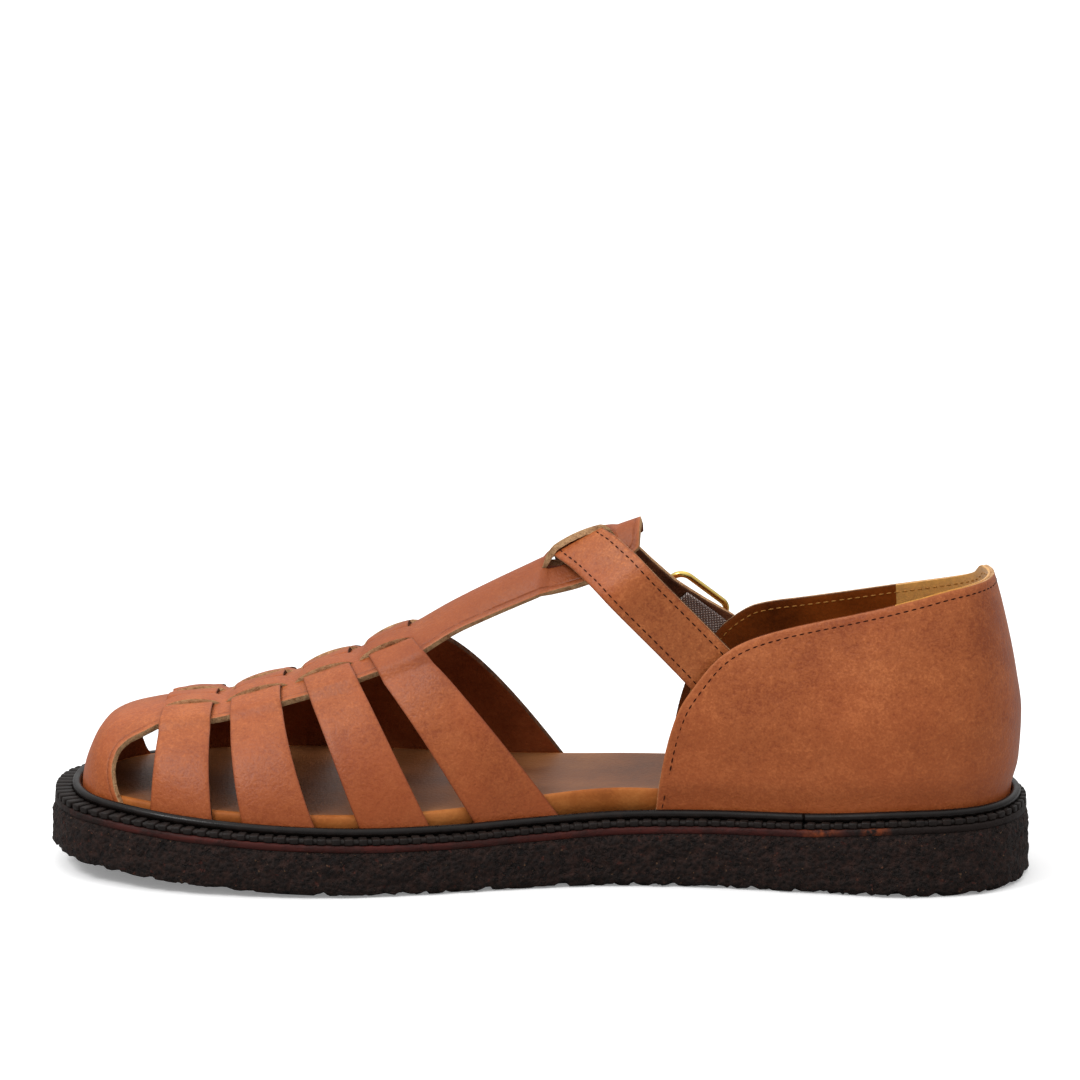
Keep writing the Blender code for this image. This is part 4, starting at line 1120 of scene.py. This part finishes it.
def build_cross_straps():
    """Four straps from foot line to foot line, over and under the spine's bands"""
    for strap in STRAPS:
        piece = Piece("strap_" + strap["name"])
        near = spread([0, SLIT_IN, SLIT_OUT, HALF + 4.5], 0.8)
        low = near[-1]
        halves = []
        for side in SIDES:
            full = float(foot_arc(np.mean(strap[SIDES[side]]), side))
            arcs = np.concatenate([near, spread([low, full], 1.3)[1:]])
            front, rear = strap_edges(strap, side, arcs, full)
            u = np.linspace(0, 1, 15)
            x = front[:, None] + (rear - front)[:, None] * u
            stretch = low + (arcs[:, None] - low) * (foot_arc(x, side) - low) / (full - low)
            arc = np.where(arcs[:, None] <= low, arcs[:, None], stretch)
            pillow = 0.35 * (1 - np.clip(np.abs(u - 0.5) * 2, 0, 1) ** 6)[None, :] - 0.3
            p = last(x, share(x, side * arc))
            halves.append((p, strap_weave(arcs)[:, None] + pillow, side * arc, x))
        p, up, arc, x = [np.concatenate([a[::-1], b[1:]], axis=0) for a, b in zip(*halves)]
        piece.grid(p + grid_normals(p) * up[..., None], uv=np.dstack([x, arc]) * MM)
        piece.measure_edges()
        piece.finish(["strap", "dark_edge", "inside"], "upper", (), "sheet", STRAP_WALL, inner=2, bevel=0.3)


def quarter_surface(inset=0.0):
    """The quarter's wall from the foot line up to its top line, from the inner front edge round the heel"""
    a = INNER[INNER[:, 0] > TOP_IN["x"][0]]
    b = OUTER[OUTER[:, 0] > TOP_OUT["x"][0]][::-1]
    line = np.vstack([a, b[1:]])
    run = run_of(line)
    near = np.concatenate([np.arange(0, 12, 0.8), np.arange(12, 36, 1.2)])
    mid = np.linspace(36.0, run[-1] - 36.0, QUARTER_COLUMNS)
    at = np.concatenate([near, mid, run[-1] - near[::-1]])
    q = sample(line, run, at)
    t = np.column_stack([np.gradient(q[:, 0]), np.gradient(q[:, 1])])
    out = unit(np.column_stack([t[:, 1], -t[:, 0]]))
    inner = at / run[-1] < 0.5
    x = q[:, 0]
    z0 = foot_z(x)
    z1 = np.where(inner, steady(x, TOP_IN["x"], TOP_IN["z"]), steady(x, TOP_OUT["x"], TOP_OUT["z"]))
    z1 = np.maximum(z1, z0 + 1.2)
    heel = np.clip((x - 70.0) / 50.0, 0, 1) ** 1.3
    z = z0 + (z1 - z0) * np.linspace(0, 1, QUARTER_ROWS)[:, None]
    h = (z - z0) / 66.0
    at_heel, at_side = (steady(h, WALL["share"], WALL[key]) for key in ("heel", "side"))
    o = at_heel * heel + at_side * (1 - heel) - inset
    return np.dstack([q[:, 0] + out[:, 0] * o, q[:, 1] + out[:, 1] * o, z]), at


def build_quarter():
    """Outer leather of the quarter, and its lining with the suede grip round the heel"""
    above_foot = lambda e: all(v.co.z > (float(foot_z(v.co.x / MM)) + 0.3) * MM for v in e.verts)
    p, at = quarter_surface()
    uv = np.dstack([np.broadcast_to(at, p.shape[:2]), p[..., 2]]) * MM
    shell = Piece("quarter_shell")
    shell.grid(p, uv=uv)
    shell.measure_edges(above_foot)
    shell.finish(["quarter", "raw"], "upper", ["heel_quarter"], "sheet", QUARTER_WALL, bevel=0.3)
    p, at = quarter_surface(QUARTER_WALL + 0.05)
    lining = Piece("quarter_lining")
    lining.grid(p, uv=uv)
    lining.measure_edges(above_foot)
    for f in lining.bm.faces:
        middle = np.mean([at[v[lining.column]] for v in f.verts]) / at[-1]
        f.material_index = 2 if abs(middle - 0.5) < SUEDE_SHARE else 0
    lining.finish(["lining", "dark_edge", "suede"], "upper", (), "sheet", 0.6, bevel=0.2)


def strip_line(centre, across, count):
    """Evenly spaced points along a strip's centre line, and the directions across it"""
    line = even(catmull(centre, False, 16), count)
    knots, at = run_of(centre), run_of(line)
    return line, unit(sample(across, knots, at / at[-1] * knots[-1]))


def strip_surface(line, dirs, width, columns):
    """A band of points along a line, as rows along it, and their UV"""
    u = np.linspace(-0.5, 0.5, columns)
    p = line[:, None] + dirs[:, None] * width * u[None, :, None]
    uv = (np.broadcast_to(of, p.shape[:2]) for of in (run_of(line)[:, None], u * width))
    return p, np.dstack(list(uv)) * MM


def ankle_surface():
    """Inner face of the ankle strap from the inner quarter over the bar to the strap's tip"""
    tables = (ANKLE_IN, ANKLE_BAR, ANKLE_OUT)
    centre, across = (np.array([p for t in tables for p in t[key]]) for key in ("centre", "across"))
    return strip_surface(*strip_line(centre, across, ANKLE_POINTS), STRAP_WIDE, ANKLE_COLUMNS)


def build_ankle_strap():
    """Face and lining of the ankle strap, each a little domed across"""
    p, uv = ankle_surface()
    n = grid_normals(p)
    u = np.linspace(-1, 1, ANKLE_COLUMNS)
    pillow = (0.3 * (1 - np.abs(u) ** 4) - 0.25)[None, :, None]
    for name, replaces, high, domed, wall, kinds in (
        ("ankle_strap_face", ["ankle_strap"], STRAP_THICK, 1.0, 1.15, ("ankle", "raw")),
        ("ankle_strap_lining", [], 0.95, 0.4, 0.85, ("flesh", "dark_edge")),
    ):
        piece = Piece(name)
        piece.grid(p + n * (high + pillow * domed), uv=uv)
        piece.measure_edges()
        piece.finish(kinds, "upper", replaces, "sheet", wall, bevel=0.25)


def build_elastic():
    """Elastic web under the strap's tip"""
    line, across = strip_line(np.array(ELASTIC["centre"]), np.array(ELASTIC["across"]), 40)
    p, uv = strip_surface(line, across, ELASTIC["wide"], 14)
    piece = Piece("elastic_web")
    piece.grid(p + grid_normals(p) * ELASTIC["thick"], uv=uv)
    piece.finish(["elastic", "elastic"], "elastic", ["elastic_tab"], "sheet", ELASTIC["thick"], bevel=0.2)


def buckle_axes():
    """Middle of the buckle's frame, and its directions along the strap, across it and outwards"""
    e = unit(np.array(BUCKLE["along"]))
    w = np.array(BUCKLE["across"])
    w = unit(w - e * (w @ e))
    out = np.cross(w, e)
    out = out if out[1] > 0 else -out
    return np.array(BUCKLE["centre"]) + out * (STRAP_THICK + GAP + WIRE / 2 + 1.1), e, w, out


def bar(name, line, radius, closed, replaces, sides=14):
    """A round brass bar along a line, its ends closed with domes"""
    line = np.array(line)
    t = unit(np.roll(line, -1, 0) - np.roll(line, 1, 0)) if closed else unit(np.gradient(line, axis=0))
    a = unit(np.cross(t, unit(np.cross(t[0], t[len(t) // 3]))))
    b = np.cross(t, a)
    w = np.linspace(0, 2 * np.pi, sides + 1)[None, :, None]
    r = np.full(len(line), radius)
    if not closed:
        r[0] = r[-1] = radius * 0.05
        r[1] = r[-2] = radius * 0.8
    p = line[:, None] + r[:, None, None] * (np.cos(w) * a[:, None] + np.sin(w) * b[:, None])
    if closed:
        p = np.concatenate([p, p[:1]], axis=0)
    piece = Piece(name)
    piece.grid(p)
    piece.merge(0.003)
    if not closed:
        bmesh.ops.holes_fill(piece.bm, edges=piece.bm.edges, sides=sides)
    piece.finish(["brass"], "brass", replaces)


def build_buckle():
    """Wire frame of the buckle and the pin that lies on it"""
    o, e, w, out = buckle_axes()
    a, b, r = BUCKLE["long"] / 2, BUCKLE["wide"] / 2, BUCKLE["round"]
    line = []
    for q, (sx, sy) in enumerate([(1, 1), (-1, 1), (-1, -1), (1, -1)]):
        for k in range(13):
            g = np.pi / 2 * (q + k / 12)
            line.append(o + e * (sx * (a - r) + r * np.cos(g)) + w * (sy * (b - r) + r * np.sin(g)))
    bar("buckle_loop", line, WIRE * WIRE_SHARE, True, ["buckle_frame"])
    up = WIRE + 0.35
    pin = [o - e * (a - 2.2) + out * 0.2, o - e * (a - 3.4) + out * 0.5, o - e * 2.0 + out * 0.9,
           o + e * (a - 2.4) + out * (up - 0.2), o + e * (a + 0.9) + out * (up - 0.1)]
    pin = even(catmull(np.array(pin), False, 10), 26)
    tips = [pin[0] - (pin[1] - pin[0]) * 0.3], [pin[-1] + (pin[-1] - pin[-2]) * 0.3]
    bar("buckle_pin", np.vstack([tips[0], pin, tips[1]]), PIN_RADIUS, False, ["buckle_prong"])


def stitch_row(piece, line, normals):
    """Lays stitches along a line, each a slim bead sunk at its ends"""
    run = run_of(line)
    for s in np.arange(STITCH["pitch"] / 2, run[-1] - STITCH["pitch"] / 2, STITCH["pitch"]):
        p, q = (sample(line, run, s + d)[0] for d in (-0.3, 0.3))
        n = unit(sample(normals, run, s)[0])
        t = unit(q - p)
        b = np.cross(n, t)
        mid = place((p + q) / 2 + n * STITCH["lift"])
        axes = Matrix([(t[k], b[k], n[k], mid[k]) for k in range(3)] + [(0, 0, 0, 1)])
        long, thick = STITCH["long"] * MM, STITCH["thick"] * MM
        size = Matrix.Diagonal((long / 2, thick / 2, thick * 0.36, 1.0))
        bmesh.ops.create_uvsphere(piece.bm, u_segments=8, v_segments=6, radius=1.0, matrix=axes @ size)


def build_stitches():
    """Brown rows on the ankle strap and along the quarter's outside, and a pale one along its inside"""
    brown, pale = Piece("brown_stitches"), Piece("pale_stitches")
    p, _ = ankle_surface()
    n = grid_normals(p)
    for column in (2, ANKLE_COLUMNS - 3):
        stitch_row(brown, p[:, column] + n[:, column] * (STRAP_THICK - 0.02), n[:, column])
    outside, inside = quarter_surface()[0], quarter_surface(1.85)[0]
    stitch_row(brown, *inset_path(outside, grid_normals(outside)))
    stitch_row(pale, *inset_path(inside, -grid_normals(inside)))
    brown.finish(["thread"], "upper", (), "kept")
    pale.finish(["pale_thread"], "upper", (), "kept")


def inset_path(wall, normals):
    """Line of the stitches along the quarter's front and top edge, and the normals there"""
    top, n = wall[-1], normals[-1]
    t = unit(np.gradient(top, axis=0))
    into = unit(np.cross(n, t))
    into *= np.sign(np.sum(into * (wall.reshape(-1, 3).mean(0) - top), axis=1))[:, None]
    path = top + into * STITCH["inset"]
    keep = path[:, 2] > foot_z(path[:, 0]) + 2.0
    return path[keep], n[keep]


def build_stage():
    """White floor, soft lights and the photograph's camera"""
    bm = bmesh.new()
    bmesh.ops.create_grid(bm, x_segments=1, y_segments=1, size=6.0)
    me = bpy.data.meshes.new("floor")
    bm.to_mesh(me)
    bm.free()
    floor = bpy.data.objects.new("floor", me)
    bpy.context.scene.collection.objects.link(floor)
    g = Graph("floor_white", roughness=0.9, specular_ior_level=0.1)
    seen = g.node("ShaderNodeLightPath").outputs["Is Camera Ray"]
    g.feed(g.shader.inputs["Emission Color"], g.mix(seen, (0.0, 0.0, 0.0), FLOOR_GLOW))
    g.shader.inputs["Emission Strength"].default_value = 1.0
    me.materials.append(g.finish(g.mix(seen, FLOOR_BOUNCE, FLOOR_WHITE)))

    world = bpy.data.worlds.new("studio")
    world.use_nodes = True
    tree = world.node_tree
    sky = tree.nodes.new("ShaderNodeValToRGB")
    for element, (at, level) in zip(sky.color_ramp.elements, SKY):
        element.position, element.color = at, (level, level, level, 1.0)
    parts = tree.nodes.new("ShaderNodeSeparateXYZ")
    tree.links.new(tree.nodes.new("ShaderNodeTexCoord").outputs["Generated"], parts.inputs[0])
    tree.links.new(parts.outputs["Z"], sky.inputs["Fac"])
    tree.links.new(sky.outputs["Color"], tree.nodes["Background"].inputs["Color"])
    bpy.context.scene.world = world

    for name, at, size, power in LIGHTS:
        light = bpy.data.lights.new(name, "AREA")
        light.shape, light.size, light.energy = "DISK", size, power
        ob = bpy.data.objects.new(name, light)
        ob.location = at
        ob.rotation_euler = (Vector((0, 0, 0.04)) - Vector(at)).to_track_quat("-Z", "Y").to_euler()
        bpy.context.scene.collection.objects.link(ob)

    azimuth, elevation = np.radians(CAMERA["azimuth"]), np.radians(CAMERA["elevation"])
    level = np.cos(elevation)
    back = Vector((np.sin(azimuth) * level, -np.cos(azimuth) * level, np.sin(elevation)))
    eye = Vector((0, TO_CENTRE * MM, CAMERA["turns_about"])) + back * CAMERA["distance"]
    camera = bpy.data.cameras.new("camera")
    camera.sensor_width, camera.lens = 36.0, CAMERA["lens"]
    camera.clip_start, camera.clip_end = 0.05, 50.0
    ob = bpy.data.objects.new("camera", camera)
    ob.location = eye
    ob.rotation_euler = (Vector((0, TO_CENTRE * MM, CAMERA["aim"])) - eye).to_track_quat("-Z", "Y").to_euler()
    bpy.context.scene.collection.objects.link(ob)
    bpy.context.scene.camera = ob
    bpy.context.scene.view_settings.view_transform = "Standard"
    bpy.context.scene.view_settings.look = "None"


def shade_property(name, text, r, g, b):
    """A colour setting for the panel"""
    return FloatVectorProperty(
        name=name, description=text, subtype="COLOR", size=3, min=0, max=1, default=colour(r, g, b),
    )


class SandalSettings(bpy.types.PropertyGroup):
    """What a user would change about the sandal's looks"""

    leather: shade_property("Leather", "Colour of the waxed upper leather", 168, 89, 43)
    raw_edge: shade_property("Raw edge", "Colour of the cut edges of spine and bar", 232, 188, 140)
    lining: shade_property("Lining", "Colour of the leather lining behind the quarter", 122, 60, 18)
    crepe: shade_property("Crepe", "Colour of the crepe outsole", 32, 20, 16)
    brass: shade_property("Brass", "Colour of the buckle", 226, 196, 110)
    tooth_pitch: FloatProperty(
        name="Tooth pitch", description="Distance between the blocks pressed into the welt",
        default=0.00374, min=0.002, max=0.008, unit="LENGTH",
    )


class SANDAL_OT_sole(bpy.types.Operator):
    """Crepe outsole and the red brown midsole edge over it"""

    bl_idname = "sandal.sole"
    bl_label = "Sole"

    def execute(self, context):
        build_outsole()
        build_midsole()
        return {"FINISHED"}


class SANDAL_OT_welt(bpy.types.Operator):
    """Welt strip with its pressed blocks and the rolled bead"""

    bl_idname = "sandal.welt"
    bl_label = "Welt"

    def execute(self, context):
        build_welt_strip()
        build_welt_teeth()
        build_welt_bead()
        return {"FINISHED"}


class SANDAL_OT_footbed(bpy.types.Operator):
    """Footbed with its cupped heel and lifted arch"""

    bl_idname = "sandal.footbed"
    bl_label = "Footbed"

    def execute(self, context):
        build_footbed()
        return {"FINISHED"}


class SANDAL_OT_toe_and_spine(bpy.types.Operator):
    """Toe cap, slit spine and bar, cut from one hide"""

    bl_idname = "sandal.toe_and_spine"
    bl_label = "Toe cap and spine"

    def execute(self, context):
        build_toe_and_spine()
        return {"FINISHED"}


class SANDAL_OT_cross_straps(bpy.types.Operator):
    """Four straps woven through the spine"""

    bl_idname = "sandal.cross_straps"
    bl_label = "Cross straps"

    def execute(self, context):
        build_cross_straps()
        return {"FINISHED"}


class SANDAL_OT_quarter(bpy.types.Operator):
    """Closed heel with lining and suede grip"""

    bl_idname = "sandal.quarter"
    bl_label = "Quarter"

    def execute(self, context):
        build_quarter()
        return {"FINISHED"}


class SANDAL_OT_ankle_strap(bpy.types.Operator):
    """Ankle strap, its elastic and the brass buckle"""

    bl_idname = "sandal.ankle_strap"
    bl_label = "Ankle strap and buckle"

    def execute(self, context):
        build_ankle_strap()
        build_elastic()
        build_buckle()
        return {"FINISHED"}


class SANDAL_OT_stitches(bpy.types.Operator):
    """Stitch rows on strap, quarter and lining"""

    bl_idname = "sandal.stitches"
    bl_label = "Stitches"

    def execute(self, context):
        build_stitches()
        return {"FINISHED"}


class SANDAL_OT_stage(bpy.types.Operator):
    """Floor, lights and camera"""

    bl_idname = "sandal.stage"
    bl_label = "Stage"

    def execute(self, context):
        build_stage()
        return {"FINISHED"}


OPERATORS = (
    SANDAL_OT_stage, SANDAL_OT_sole, SANDAL_OT_welt, SANDAL_OT_footbed, SANDAL_OT_toe_and_spine,
    SANDAL_OT_cross_straps, SANDAL_OT_quarter, SANDAL_OT_ankle_strap, SANDAL_OT_stitches,
)


class SANDAL_PT_panel(bpy.types.Panel):
    """Settings and steps of the sandal"""

    bl_idname = "SANDAL_PT_panel"
    bl_label = "Fisherman sandal"
    bl_space_type = "VIEW_3D"
    bl_region_type = "UI"
    bl_category = "Sandal"

    def draw(self, context):
        for key in SandalSettings.__annotations__:
            self.layout.prop(context.scene.sandal, key)
        for operator in OPERATORS:
            self.layout.operator(operator.bl_idname)


def register():
    for cls in (SandalSettings, *OPERATORS, SANDAL_PT_panel):
        bpy.utils.register_class(cls)
    bpy.types.Scene.sandal = PointerProperty(type=SandalSettings)


def unregister():
    del bpy.types.Scene.sandal
    for cls in reversed((SandalSettings, *OPERATORS, SANDAL_PT_panel)):
        bpy.utils.unregister_class(cls)


def main():
    register()
    for operator in OPERATORS:
        group, step = operator.bl_idname.split(".")
        getattr(getattr(bpy.ops, group), step)()


if __name__ == "__main__":
    main()
